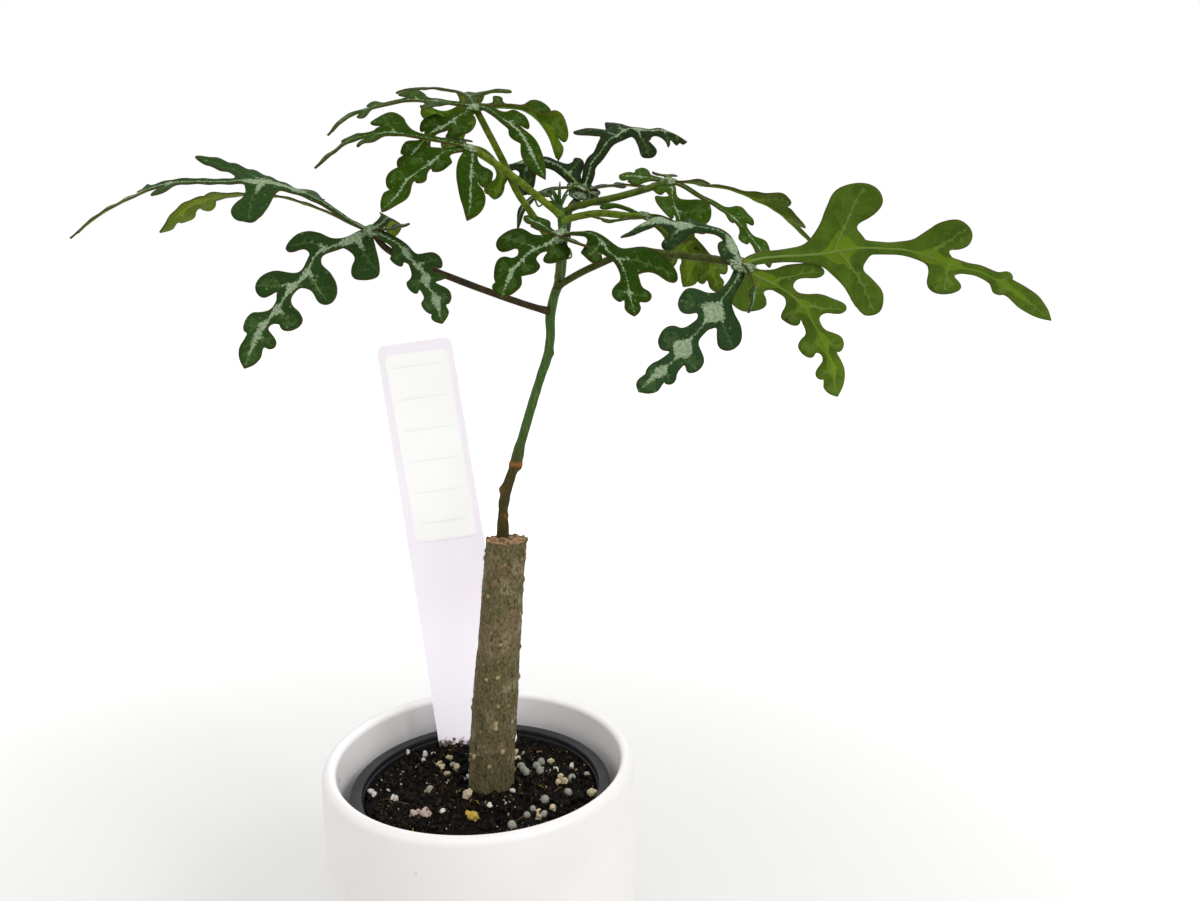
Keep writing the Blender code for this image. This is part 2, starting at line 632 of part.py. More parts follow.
def upper_corners(width, height, radius):
    """The two rounded upper corners of an upright rectangle about (0, 0)."""
    right = arc(width / 2 - radius, height / 2 - radius, radius, 0, 90, 3)
    return right + arc(radius - width / 2, height / 2 - radius, radius, 90, 180, 3)


def label_outline(spare):
    """The label's pointed outline, with a spare width around it where the soil holds it."""
    half = LABEL_WIDTH / 2 + spare
    top = [(x, y + LABEL_LENGTH / 2) for x, y in upper_corners(2 * half, LABEL_LENGTH, LABEL_CORNER)]
    return [(0.0, -spare), (half, LABEL_POINT - spare)] + top + [(-half - LABEL_FLARE, LABEL_POINT - spare)]


def make_label():
    lilac = material("lilac_plastic", (0.80, 0.76, 0.86), 0.4)
    return plate("plant_label", label_outline(0.0), LABEL_THICKNESS, label_matrix(), lilac)


def make_sticker():
    """The bare white sticker on the label's front."""
    middle = STICKER_TOP - STICKER_LENGTH / 2
    upper = upper_corners(STICKER_WIDTH, STICKER_LENGTH, STICKER_CORNER)
    outline = [(x, middle + y) for x, y in upper] + [(-x, middle - y) for x, y in upper]
    ahead = (LABEL_THICKNESS + STICKER_THICKNESS) / 2 + GAP
    matrix = Matrix.Translation((0.0, -ahead * MM, 0.0)) @ label_matrix()
    white = material("white_sticker", (0.93, 0.93, 0.92), 0.3)
    return plate("label_sticker", outline, STICKER_THICKNESS, matrix, white)


def make_soil():
    """Potting soil that fills the nursery pot, with prills and crumbs on its rough top."""
    rng = random.Random(11)
    radius = pot_radius(SOIL_TOP_Z - POT_BASE_Z) - POT_WALL - GAP
    floor_z = POT_BASE_Z + POT_WALL + GAP
    rings = int(radius // SOIL_RING)
    profile = [(SOIL_RING * ring, SOIL_TOP_Z) for ring in range(rings + 1)]
    profile += [(radius - 0.5, SOIL_TOP_Z), (pot_radius(3) - POT_WALL - GAP, floor_z + 3),
                (pot_radius(0) - POT_WALL - GAP - 3, floor_z), (0.0, floor_z)]
    brown = material("black_soil", (0.018, 0.013, 0.010), 0.95)
    soil = turned("soil", profile, SOIL_TURNS, brown, POT_CENTRE)
    for vert in soil.data.vertices:
        if vert.co.z > (SOIL_TOP_Z - 1) * MM:
            vert.co.z += SOIL_ROUGHNESS * MM * noise.noise(vert.co * 90)
    lumps = []
    for index in range(PRILLS + CRUMBS):
        prill = index < PRILLS
        distance = (radius - 5) * math.sqrt(rng.uniform(0.08, 1.0))
        angle = rng.uniform(-2.6, 0.9) if prill else rng.uniform(0, math.tau)
        x = POT_CENTRE[0] + distance * math.cos(angle)
        y = POT_CENTRE[1] + distance * math.sin(angle)
        size = PRILL_RADIUS * rng.uniform(0.85, 1.15)
        stretch = 1.0 if prill else rng.uniform(1.1, 1.5)
        turn = Euler((0, 0, rng.uniform(0, math.tau)))
        lumps.append(pebble(f"lump_{index}", (x, y, SOIL_TOP_Z), (size * stretch, size, size * 0.9), turn))
    join_all(soil, lumps, "MANIFOLD")
    boolean(soil, trunk_cutter("trunk_hole", GAP, SOIL_TOP_Z + 8), "DIFFERENCE", "MANIFOLD")
    slot = plate("label_slot", label_outline(GAP), LABEL_THICKNESS + 2 * GAP, label_matrix())
    boolean(soil, slot, "DIFFERENCE", "MANIFOLD")
    return smooth_shade(soil, 60)


def make_trunk():
    """The cut trunk: ridged bark, warts, and a shallow socket that the shoot grows from."""
    rng = random.Random(5)
    bark = material("grey_bark", (0.16, 0.13, 0.08), 0.85)
    steps = 2
    axis = catmull(TRUNK_AXIS, steps)
    trunk = tube("trunk", axis, spread(TRUNK_RADII, steps), 16, mat=bark)
    for vert in trunk.data.vertices:
        centre, _ = trunk_place(vert.co.z / MM)
        outward = Vector((vert.co.x - centre.x * MM, vert.co.y - centre.y * MM, 0.0))
        if outward.length > 2 * MM:
            ridge = noise.noise(Vector((vert.co.x * 220, vert.co.y * 220, vert.co.z * 25)))
            vert.co += outward.normalized() * TRUNK_RIDGES * MM * ridge
    warts = []
    for index in range(TRUNK_WARTS):
        centre, radius = trunk_place(rng.uniform(SOIL_TOP_Z + 6, TRUNK_AXIS[-1][2] - 4))
        angle = rng.uniform(0, math.tau)
        place = centre + Vector((math.cos(angle), math.sin(angle), 0.0)) * (radius - 0.2)
        size = rng.uniform(0.7, 1.1)
        warts.append(pebble(f"wart_{index}", place, (size, size, size * 1.2), Euler((0, 0, angle))))
    join_all(trunk, warts)
    foot = Vector(SHOOT_AXIS[0]) - Vector((0, 0, GAP))
    head = Vector((SHOOT_AXIS[0][0], SHOOT_AXIS[0][1], TRUNK_AXIS[-1][2] + 3))
    boolean(trunk, tube("socket", [foot, head], [SHOOT_RADII[0] + GAP] * 2, 12), "DIFFERENCE")
    return smooth_shade(trunk, 50)


def make_shoot():
    """The green stem with its leaf scars, young leaves and tendril."""
    green = material("green_stem", (0.10, 0.16, 0.07), 0.5)
    shoot = tube("shoot", SHOOT_AXIS, SHOOT_RADII, 8, mat=green)
    extras = []
    for index, (place, size) in enumerate(SHOOT_BUDS):
        extras.append(pebble(f"scar_{index}", place, (size, size, size), Euler()))
    for index, (start, end, size) in enumerate(TIP_BUDS):
        extras.append(spike(f"tip_bud_{index}", start, end, size))
    curl = catmull(TENDRIL, 2)
    extras.append(tube("tendril", curl, [TENDRIL_RADIUS] * len(curl), 4))
    join_all(shoot, extras)
    return smooth_shade(shoot, 60)


class Rib:
    """The smooth line that a lobe's blade hangs on, measured along its length."""

    def __init__(self, points):
        self.path = catmull(points, 6)
        self.marks = [0.0]
        for first, second in zip(self.path, self.path[1:]):
            self.marks.append(self.marks[-1] + (second - first).length)
        self.length = self.marks[-1]

    def span(self, distance):
        """Index of the short stretch that holds this distance, and how far along it lies."""
        distance = min(max(distance, 0.0), self.length)
        index = 0
        while index < len(self.marks) - 2 and self.marks[index + 1] < distance:
            index += 1
        return index, (distance - self.marks[index]) / (self.marks[index + 1] - self.marks[index])

    def at(self, distance):
        index, t = self.span(distance)
        return self.path[index].lerp(self.path[index + 1], t)

    def along(self, distance):
        behind = self.at(max(distance - 1.5, 0.0))
        ahead = self.at(min(distance + 1.5, self.length))
        return (ahead - behind).normalized()

    def nearest(self, point):
        """Distance along the rib of the place that is nearest to a point."""
        best = min(range(len(self.path)), key=lambda index: (self.path[index] - point).length)
        distance = self.marks[best]
        for _ in range(3):
            distance += (point - self.at(distance)).dot(self.along(distance))
        return min(max(distance, 1.0), self.length * 0.95)


class Side:
    """One side of a blade: which way it spreads from the rib, and its teeth."""

    def __init__(self, rib, teeth, spare):
        self.rib = rib
        self.teeth = []
        for tip_x, tip_y, tip_z, half, *lean in teeth:
            tip = Vector((tip_x, tip_y, tip_z))
            foot = rib.nearest(tip)
            offset = tip - rib.at(foot)
            offset -= rib.along(foot) * offset.dot(rib.along(foot))
            slope = lean[0] if lean else TOOTH_LEAN
            root = min(max(foot - slope * offset.length, 0.8 * half), rib.length - half)
            self.teeth.append((root, foot, offset.length, half, offset.normalized()))
        self.teeth.sort(key=lambda tooth: tooth[0])
        self.knots = sorted((foot, reach, way) for _, foot, reach, _, way in self.teeth)
        if not self.knots:
            self.knots = [(0.0, SPARE_REACH, spare)]

    def spread(self, distance):
        """Sideways direction and reach of the blade at a distance along the rib."""
        before = [knot for knot in self.knots if knot[0] <= distance]
        after = [knot for knot in self.knots if knot[0] > distance]
        low = before[-1] if before else after[0]
        high = after[0] if after else before[-1]
        t = (distance - low[0]) / (high[0] - low[0]) if high[0] > low[0] else 0.0
        reach = low[1] + (high[1] - low[1]) * t
        way = low[2].lerp(high[2], t)
        along = self.rib.along(distance)
        return (way - along * way.dot(along)).normalized(), reach

    def notch_after(self, tooth):
        """Distance along the rib of the notch that follows a tooth."""
        root, foot, _, half, _ = tooth
        return min(root + NOTCH * half + NOTCH_LEAN * (foot - root), self.rib.length - LAST_BLADE)

    def outline(self, end, neck):
        """Edge of this side from the hub to the tip, as (distance along, distance out)."""
        length = self.rib.length
        edge = [(0.0, neck)]
        last, level = 0.0, neck
        reaches = [tooth[2] for tooth in self.teeth[1:]] + [end]
        for tooth, next_reach in zip(self.teeth, reaches):
            root, foot, reach, half, _ = tooth
            start = root - FLANK * half
            if start - last > FILL * half:
                edge += [(last + NOTCH_ROUND, neck)] * (last > 0.0) + [(start, neck)]
            elif last > 0.0:
                edge.append((last + NOTCH_ROUND, level))
            axis = Vector((foot - root, reach)).normalized()
            size = math.hypot(foot - root, reach)
            for out, wide in BROAD_OUTLINE if half >= BROAD_TOOTH else SMALL_OUTLINE:
                x = root + axis.x * size * out + axis.y * half * wide
                y = axis.y * size * out - axis.x * half * wide
                if y > level and (wide > 0 or x > last + EDGE_CLEAR):
                    edge.append((min(max(x, 0.0), length - EDGE_CLEAR), y))
            last = self.notch_after(tooth)
            level = max(neck, NOTCH_RISE * (last / length) ** NOTCH_RISE_POWER * min(reach, next_reach))
            edge.append((last, level))
        rest = length - last
        return edge + [(last + rest * along, end * wide) for along, wide in END_OUTLINE]


class Blade:
    """The sheet of one lobe, from the hub outwards."""

    def __init__(self, leaf, lobe, phase):
        self.rib = Rib([leaf.hub] + lobe.rib)
        self.phase = phase
        level = Vector((0, 0, 1)).cross(self.rib.along(0.0)).normalized()
        self.left = Side(self.rib, lobe.left, level)
        self.right = Side(self.rib, lobe.right, -level)
        self.end = lobe.end
        self.neck = leaf.neck

    def place(self, distance, out):
        """Point of the sheet in space; out is positive on the left and negative on the right."""
        side = self.left if out >= 0 else self.right
        way, reach = side.spread(distance)
        along = self.rib.along(distance)
        up = along.cross(way) if out >= 0 else way.cross(along)
        size = abs(out)
        wave = RIPPLE * min(size / RIPPLE_START, 1.0) * math.sin(RIPPLE_PITCH * distance + self.phase)
        return self.rib.at(distance) + way * size + up * (ARCH * size * (reach - size) + wave)

    @staticmethod
    def split(edge):
        """Adds points to the long straight stretches of an edge, so that they follow the rib."""
        points = []
        for first, second in zip(edge, edge[1:]):
            pieces = max(1, round(math.dist(first, second) / RIB_STEP))
            for piece in range(pieces):
                t = piece / pieces
                points.append((first[0] + (second[0] - first[0]) * t, first[1] + (second[1] - first[1]) * t))
        return points + [edge[-1]]

    def sheet(self, name):
        """The flat outline with its rib, filled with triangles and bent to its place."""
        length = self.rib.length
        left = self.left.outline(self.end, self.neck)
        right = [(x, -y) for x, y in self.right.outline(self.end, self.neck)]
        right = self.split([(0.0, 0.0)] + right + [(length, 0.0)])
        left = self.split([(length, 0.0)] + left[::-1] + [(0.0, 0.0)])
        loop = [Vector(p) for p in right[:-1] + left[:-1]]
        count = len(loop)
        edges = [(index, (index + 1) % count) for index in range(count)]
        steps = max(2, round(length / RIB_STEP))
        spine = [0] + list(range(count, count + steps - 1)) + [len(right) - 1]
        loop += [Vector((length * step / steps, 0.0)) for step in range(1, steps)]
        edges += list(zip(spine, spine[1:]))
        points, _, faces, _, _, _ = geometry.delaunay_2d_cdt(loop, edges, [], 1, 0.01)
        bm = bmesh.new()
        verts = [bm.verts.new(self.place(point.x, point.y) * MM) for point in points]
        for face in faces:
            bm.faces.new([verts[index] for index in face])
        bmesh.ops.recalc_face_normals(bm, faces=bm.faces)
        return mesh_from(bm, name)


def make_leaf(name, leaf, mat):
    """A leaf: thin solid blades fused with the web and the leaf stalk, its foot cut to the shoot."""
    web = pebble(name, leaf.hub, (leaf.web, leaf.web, HUB_THICKNESS), leaf_tilt(leaf), mat)
    blades = []
    for index, lobe in enumerate(leaf.lobes):
        sheet = Blade(leaf, lobe, 1.3 * index).sheet(f"{name}_lobe_{index}")
        blade = add_object(f"{name}_lobe_{index}", sheet, cutter=True)
        solid = blade.modifiers.new("thickness", "SOLIDIFY")
        solid.thickness = BLADE_THICKNESS * MM
        solid.offset = 0.0
        blade.modifiers.new("triangles", "TRIANGULATE")
        blades.append(apply_modifiers(blade))
    path = catmull(leaf.petiole + [leaf.hub], 2)
    radii = [PETIOLE_RADIUS] * (len(path) - 1) + [PETIOLE_RADIUS * 0.8]
    radii[1] = PETIOLE_FOOT_RADIUS
    join_all(web, blades + [tube(name + "_stalk", path, radii, 6)], "MANIFOLD")
    wide = [radius + GAP for radius in SHOOT_RADII]
    boolean(web, tube(name + "_foot", SHOOT_AXIS, wide, 8), "DIFFERENCE", "MANIFOLD")
    return smooth_shade(web, 60)


def leaf_tilt(leaf):
    """Turns the web so that it lies in the mean plane of its lobes' first stretches."""
    starts = [(Vector(lobe.rib[0]) - Vector(leaf.hub)).normalized() for lobe in leaf.lobes]
    normal = Vector((0.0, 0.0, 0.0))
    for first, second in zip(starts, starts[1:] + starts[:1]):
        normal += first.cross(second)
    return Vector((0, 0, 1)).rotation_difference(normal.normalized())


def build():
    clear_scene()
    make_cachepot()
    make_nursery_pot()
    make_soil()
    make_trunk()
    make_shoot()
    make_label()
    make_sticker()
    dark = material("leaf_green", (0.03, 0.10, 0.035), 0.4)
    for name, leaf in LEAVES.items():
        make_leaf(name, leaf, dark)


build()
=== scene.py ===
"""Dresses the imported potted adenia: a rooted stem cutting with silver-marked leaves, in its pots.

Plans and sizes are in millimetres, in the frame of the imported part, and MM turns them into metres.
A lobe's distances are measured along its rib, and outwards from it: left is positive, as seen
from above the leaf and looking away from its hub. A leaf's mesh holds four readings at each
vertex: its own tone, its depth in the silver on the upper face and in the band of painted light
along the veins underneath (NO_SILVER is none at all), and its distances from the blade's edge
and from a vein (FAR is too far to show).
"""
from __future__ import annotations

import logging
import math
import random
from dataclasses import dataclass, field
from enum import Enum, IntEnum
from typing import Callable

import bmesh
import bpy
import numpy as np
from mathutils import Euler, Matrix, Vector, geometry, noise


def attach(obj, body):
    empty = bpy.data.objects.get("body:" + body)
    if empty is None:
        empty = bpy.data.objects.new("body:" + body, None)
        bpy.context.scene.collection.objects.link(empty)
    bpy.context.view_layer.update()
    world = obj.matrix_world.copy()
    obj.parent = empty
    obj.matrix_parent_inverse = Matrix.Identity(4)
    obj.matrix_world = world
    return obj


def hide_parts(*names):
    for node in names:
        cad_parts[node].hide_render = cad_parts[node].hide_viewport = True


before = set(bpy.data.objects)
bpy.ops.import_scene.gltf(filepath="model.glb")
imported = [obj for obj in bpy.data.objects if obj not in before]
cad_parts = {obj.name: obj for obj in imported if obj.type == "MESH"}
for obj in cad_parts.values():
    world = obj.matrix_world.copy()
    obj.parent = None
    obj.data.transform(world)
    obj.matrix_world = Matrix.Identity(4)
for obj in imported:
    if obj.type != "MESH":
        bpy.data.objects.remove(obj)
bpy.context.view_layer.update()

MM = 0.001
BODY = "root"
FLAT_MAP = "blade"
NET_SCALE = 42.0
NO_SILVER = -1.5
FAR = 9.0
LOG = logging.getLogger("potted_adenia")

Point = tuple[float, float, float]
Colour = tuple[float, float, float]
Pair = tuple[float, float]
Array = np.ndarray
Faces = list[list[int]]
Socket = bpy.types.NodeSocket
Node = bpy.types.Node
Piece = bpy.types.Object
Finish = bpy.types.Material
Mesh = bpy.types.Mesh


class Face(IntEnum):
    """Which finish a face of a leaf takes, as the index of its material."""

    UPPER = 0
    UNDER = 1
    STALK = 2


class Grain(Enum):
    """Colours of the loose grains on the soil."""

    GREY = (0.33, 0.34, 0.28)
    CREAM = (0.62, 0.52, 0.33)
    PINK = (0.55, 0.42, 0.36)
    WHITE = (0.70, 0.68, 0.60)
    YELLOW = (0.62, 0.42, 0.08)
    TAN = (0.22, 0.13, 0.05)


@dataclass(frozen=True)
class Lobe:
    """One lobe of a leaf: the points of its rib, and its teeth on either side.

    A tooth is its tip's x, y and z, its half width, and how far it leans towards the lobe's tip
    where that isn't the usual lean. End is the half width of the lobe's last blade.
    """

    rib: tuple[Point, ...]
    left: tuple[tuple[float, ...], ...]
    right: tuple[tuple[float, ...], ...]
    end: float


@dataclass(frozen=True)
class LeafPlan:
    """Where a leaf's hub, stalk and lobes lie, and the half width of its blade between teeth."""

    hub: Point
    web: float
    neck: float
    stalk: tuple[Point, ...]
    lobes: tuple[Lobe, ...]


LEAF_PLANS = {
    "leaf_left": LeafPlan(
        hub=(-35, -6, 319), web=3.5, neck=1.9,
        stalk=((29, 0, 290), (19, -1, 293), (-3, -3, 301), (-27, -5, 311)), lobes=(
            Lobe(((-29, -3, 320), (-25, -1, 321), (-22, 1, 322)), ((-26, 8, 323, 3),), ((-24, -9, 320, 3),),
                2),
            Lobe(((-33, 2, 322), (-32, 9, 325), (-32, 17, 324), (-34, 22, 318)), ((-35, 13, 327, 3.6),),
                ((-29, 12, 324, 3),), 4),
            Lobe(((-43, -1, 322), (-54, 4, 327), (-69, 9, 332), (-81, 13, 334), (-96, 17, 334),
                (-111, 20, 331), (-124, 20, 320)), ((-102, 12, 334, 3),), ((-107, 27, 329, 4),
                (-116, 27, 325, 4.5)), 4),
            Lobe(((-43, -5, 323), (-52, -4, 329), (-66, -2, 335), (-79, -1, 337), (-93, 1, 337),
                (-108, 3, 337), (-121, 4, 334), (-138, 4, 326), (-150, 3, 317)),
                ((-76, -16, 321, 7.6, -0.1), (-114, -6, 331, 3)), ((-55, 5, 332, 5, -0.6),
                (-107, 14, 348, 4.4, 2.6), (-126, 12, 336, 3)), 3),
            Lobe(((-43, -8, 315), (-53, -10, 311), (-57, -14, 303), (-62, -18, 297), (-66, -21, 290),
                (-70, -26, 284), (-74, -33, 271)), ((-30, -14, 303, 7.2), (-47, -20, 292, 4.3),
                (-58, -25, 284, 4.5), (-64, -29, 278, 3)), ((-66, -9, 313, 3, 0.5),
                (-74, -18, 299, 4.8, 0.6), (-76, -26, 285, 4.5, 0.6)), 4.5),
            Lobe(((-28, -7, 316), (-23, -9, 313), (-20, -11, 309), (-15, -13, 304), (-13, -16, 299),
                (-10, -18, 295), (-7, -23, 286)), ((-8, -10, 308, 3.5), (-6, -14, 302, 3),
                (-4, -18, 295, 3.5)), ((-26, -12, 307, 4), (-20, -17, 298, 4), (-14, -21, 291, 4)), 3.5),
        )),
    "leaf_top": LeafPlan(
        hub=(2, 10, 365), web=4.0, neck=1.7,
        stalk=((34, 1, 310), (23, 4, 326), (17, 6, 335), (12, 8, 346), (3, 10, 363)), lobes=(
            Lobe(((7, 14, 366), (13, 20, 367), (19, 25, 367), (25, 28, 363), (29, 28, 357), (32, 27, 348)),
                ((9, 23, 372, 2.5), (29, 37, 370, 3)), ((36, 26, 361, 5.5),), 4),
            Lobe(((-1, 20, 370), (-4, 31, 374), (-7, 42, 376), (-8, 51, 373), (-9, 57, 369),
                (-14, 58, 361)), ((-34, 36, 375, 3.5), (-26, 50, 372, 4.5)), ((14, 34, 376, 4),
                (1, 48, 376, 4.5), (-6, 60, 365, 4)), 4),
            Lobe(((-4, 10, 366), (-13, 9, 367), (-22, 8, 367), (-28, 7, 366), (-39, 6, 363), (-47, 5, 359),
                (-52, 4, 354)), ((-15, -3, 362, 4), (-38, -3, 359, 3)), ((-24, 16, 372, 4.5),
                (-38, 13, 367, 3)), 3),
            Lobe(((-2, 6, 362), (-8, 3, 357), (-12, 1, 355), (-16, 0, 351), (-20, -1, 346), (-24, -3, 340)),
                ((-2, 0, 353, 5), (-14, -2, 343, 4)), ((-16, 4, 360, 5), (-25, 3, 349, 3)), 4.5),
            Lobe(((7, 7, 364), (14, 4, 359), (19, 2, 355), (22, 0, 350), (25, -3, 344), (29, -6, 337)),
                ((21, 6, 361, 5),), ((17, 0, 352, 4),), 4.2),
        )),
    "leaf_second": LeafPlan(
        hub=(3, -12, 347), web=3.0, neck=1.6,
        stalk=((34, 0, 325), (29, -2, 329), (16, -8, 339), (5, -11, 346)), lobes=(
            Lobe(((7, -6, 346), (10, 0, 343), (12, 3, 339), (9, 4, 331)), ((5, 5, 335, 3),),
                ((14, 6, 339, 3),), 4),
            Lobe(((-1, -4, 350), (-4, 6, 353), (-8, 14, 353), (-11, 20, 350)), ((-10, 5, 353, 4),),
                ((0, 10, 353, 4),), 4),
            Lobe(((-5, -12, 349), (-11, -12, 350), (-17, -12, 351), (-25, -12, 352), (-34, -12, 351),
                (-42, -13, 348), (-52, -14, 340)), ((-35, -21, 346, 3, 1),), ((-30, -4, 360, 5.2, 0.5),
                (-43, -6, 351, 3)), 3.5),
            Lobe(((-2, -14, 346), (-6, -16, 345), (-10, -18, 341), (-15, -21, 337), (-18, -23, 334),
                (-21, -25, 329), (-26, -27, 324)), ((-5, -20, 339, 4.5), (-12, -26, 334, 3)),
                ((-18, -15, 344, 6), (-25, -21, 336, 5)), 5),
            Lobe(((4, -15, 344), (4, -19, 339), (4, -22, 333), (4, -24, 327), (3, -26, 321)),
                ((11, -19, 335, 4.5),), (), 5.5),
        )),
    "leaf_back": LeafPlan(
        hub=(42, 22, 336), web=6.5, neck=2.6,
        stalk=((34, 2, 310), (36, 12, 321), (37, 17, 329), (41, 21, 334)), lobes=(
            Lobe(((48, 25, 338), (57, 28, 339), (65, 30, 339), (73, 31, 338)), ((60, 42, 341, 4),),
                ((58, 18, 337, 4),), 3),
            Lobe(((44, 24, 342), (45, 27, 347), (48, 31, 351), (52, 35, 357), (56, 39, 360), (61, 43, 363),
                (69, 47, 363), (77, 50, 363), (85, 52, 359)), ((37, 44, 362, 3, -0.3), (55, 60, 368, 3)),
                ((69, 42, 351, 4.5), (77, 45, 356, 2.5), (82, 49, 356, 2)), 2.5),
            Lobe(((39, 24, 340), (35, 26, 344), (31, 28, 347), (26, 30, 349), (21, 31, 349), (11, 32, 347)),
                ((18, 28, 335, 5),), ((41, 37, 350, 3),), 3),
            Lobe(((38, 20, 337), (34, 18, 337), (27, 16, 335), (22, 14, 332), (19, 13, 328), (17, 12, 321)),
                ((29, 7, 332, 3),), ((21, 22, 335, 3),), 3),
            Lobe(((45, 19, 335), (48, 15, 333)), (), (), 2),
        )),
    "leaf_back_right": LeafPlan(
        hub=(75, 15, 339), web=3.2, neck=1.5,
        stalk=((34, 4, 326), (41, 4, 329), (55, 4, 332), (68, 9, 336)), lobes=(
            Lobe(((83, 17, 339), (90, 19, 338), (99, 21, 337), (105, 22, 335), (112, 23, 332),
                (118, 24, 329), (127, 25, 322), (134, 26, 315)), (), ((90, 11, 338, 3),
                (122, 14, 332, 4.5, 0.9), (128, 16, 322, 4, 0.7)), 2.5),
            Lobe(((75, 21, 341), (74, 28, 343), (71, 36, 344)), ((69, 28, 344, 3),), ((79, 30, 343, 3),),
                3),
            Lobe(((70, 17, 340), (64, 20, 341), (56, 24, 342)), ((60, 15, 338, 4),), ((65, 27, 345, 3.5),),
                4),
            Lobe(((76, 12, 336), (76, 8, 332), (77, 4, 327), (79, 1, 321), (80, -2, 315)), ((90, 1, 327, 5),
                (88, -3, 319, 4.5)), ((68, 9, 336, 4.5), (71, -4, 327, 5)), 4.5),
            Lobe(((80, 13, 337), (86, 11, 333), (93, 9, 329), (98, 7, 325), (103, 5, 320), (106, 3, 316),
                (112, 0, 306)), ((106, 12, 326, 5), (113, 6, 313, 4)), ((97, 2, 323, 2.5),
                (101, -2, 315, 3)), 3.5),
        )),
    "leaf_centre": LeafPlan(
        hub=(66, 4, 325), web=3.0, neck=1.5,
        stalk=((34, 2, 323), (41, 3, 325), (49, 3, 326), (60, 3, 325)), lobes=(
            Lobe(((73, 9, 324), (81, 14, 320), (88, 18, 313), (92, 20, 306), (96, 20, 297)),
                ((87, 16, 301, 4),), ((100, 24, 307, 4),), 4),
            Lobe(((60, 8, 328), (54, 11, 330), (47, 14, 331), (40, 15, 329)), ((49, 9, 328, 3),),
                ((50, 21, 331, 3),), 3),
            Lobe(((60, -1, 324), (52, -4, 323), (43, -5, 325)), ((51, -10, 322, 3),), (), 2.5),
            Lobe(((69, 5, 323), (74, 7, 319), (78, 10, 315), (83, 12, 310), (83, 13, 305), (81, 13, 299)),
                ((75, 9, 306, 4),), ((86, 13, 317, 2.8), (91, 15, 306, 3.8)), 5),
        )),
    "leaf_front": LeafPlan(
        hub=(35, -26, 316), web=3.5, neck=1.7,
        stalk=((33, -1, 302), (34, -12, 308), (35, -22, 313)), lobes=(
            Lobe(((39, -27, 317), (44, -28, 317), (48, -30, 315), (52, -33, 310), (55, -35, 307),
                (57, -37, 303), (58, -40, 298), (60, -44, 289)), ((76, -30, 301, 4.4), (66, -40, 295, 3)),
                ((44, -34, 308, 5), (53, -43, 295, 3.5)), 3),
            Lobe(((31, -24, 318), (28, -22, 320), (22, -20, 323)), ((25, -26, 319, 3),),
                ((28, -16, 323, 3),), 3.5),
            Lobe(((32, -28, 314), (29, -30, 312), (25, -32, 310), (22, -35, 307), (19, -38, 303),
                (16, -41, 295)), ((35, -31, 307, 5), (26, -37, 303, 5)), ((14.5, -28, 315.5, 5),
                (13, -36, 304, 5)), 5),
            Lobe(((39, -29, 314), (42, -31, 313), (45, -33, 312)), (), (), 2.5),
        )),
    "leaf_right": LeafPlan(
        hub=(97, -30, 306), web=5.0, neck=2.1,
        stalk=((32, 0, 298), (36, -4, 301), (46, -11, 306), (60, -18, 311), (73, -22, 310),
            (88, -27, 308)), lobes=(
            Lobe(((102, -28, 308), (109, -27, 309), (124, -25, 310), (137, -23, 312), (148, -22, 312),
                (158, -21, 311), (175, -19, 306), (184, -18, 304), (197, -17, 297), (211, -16, 287)),
                ((147, -19, 289, 6.4, 0.75), (171, -17, 296, 6, 0.3), (192, -15, 296, 3.2, 0.6)),
                ((138, -31, 333, 8.8, 0.4), (175, -27, 319, 7, 0.55), (194, -20, 303, 2.5)), 4),
            Lobe(((102, -26, 303), (107, -23, 301), (115, -20, 297), (121, -18, 292), (124, -17, 288),
                (129, -15, 280), (133, -14, 270), (136, -13, 259)), ((101, -18, 290, 7),
                (116, -14, 286, 4.6, 0.5), (122, -13, 275, 4.5, 0.35), (128, -12, 266, 3)),
                ((128, -22, 304, 3.4, 0.9), (137, -19, 291, 3.4, 0.7), (137, -16, 278, 3.6, 0.5)), 4.6),
            Lobe(((95, -28, 310), (93, -26, 315), (89, -24, 318), (85, -22, 319), (79, -20, 320),
                (74, -18, 321), (67, -16, 322), (56, -15, 316)), ((89, -28, 311, 5, 0.1),
                (71, -21, 311, 3.5)), ((81, -11, 323, 3),), 3),
            Lobe(((96, -32, 304), (94, -34, 300), (90, -37, 295), (87, -39, 291), (82, -42, 285),
                (78, -44, 281), (73, -47, 275), (68, -49, 271), (61, -52, 265)), ((93, -43, 278, 4.8, 0.6),
                (81, -47, 271, 4.4, 0.35), (72, -50, 267, 3)), ((75, -38, 295, 5.5, 0.3),
                (68, -43, 282, 4.8, 0.35), (64, -46, 272, 3.5)), 4.5),
            Lobe(((99, -33, 303), (100, -35, 300), (100, -37, 295), (98, -39, 290)), ((101, -31, 297, 3),),
                ((98, -44, 297, 3),), 2.5),
        )),
}


def catmull(points: tuple[Point, ...] | list[Point], per_span: int) -> Array:
    """Draws a smooth path through some points.

    Args:
        points: Places that the path goes through.
        per_span: Steps between two neighbouring points.

    Returns:
        The path's places, one in each row.
    """
    given = np.array(points, float)
    padded = np.vstack([2 * given[0] - given[1], given, 2 * given[-1] - given[-2]])
    steps = np.arange(per_span)[:, None] / per_span
    spans = []
    for a, b, c, d in zip(padded, padded[1:], padded[2:], padded[3:]):
        spans.append(0.5 * (2 * b + (c - a) * steps + (2 * a - 5 * b + 4 * c - d) * steps ** 2
                            + (3 * b - a - 3 * c + d) * steps ** 3))
    return np.vstack(spans + [given[-1:]])


def unit(vectors: Array) -> Array:
    """Scales each row of an array to length one."""
    length = np.linalg.norm(vectors, axis=-1, keepdims=True)
    return vectors / np.maximum(length, 1e-9)


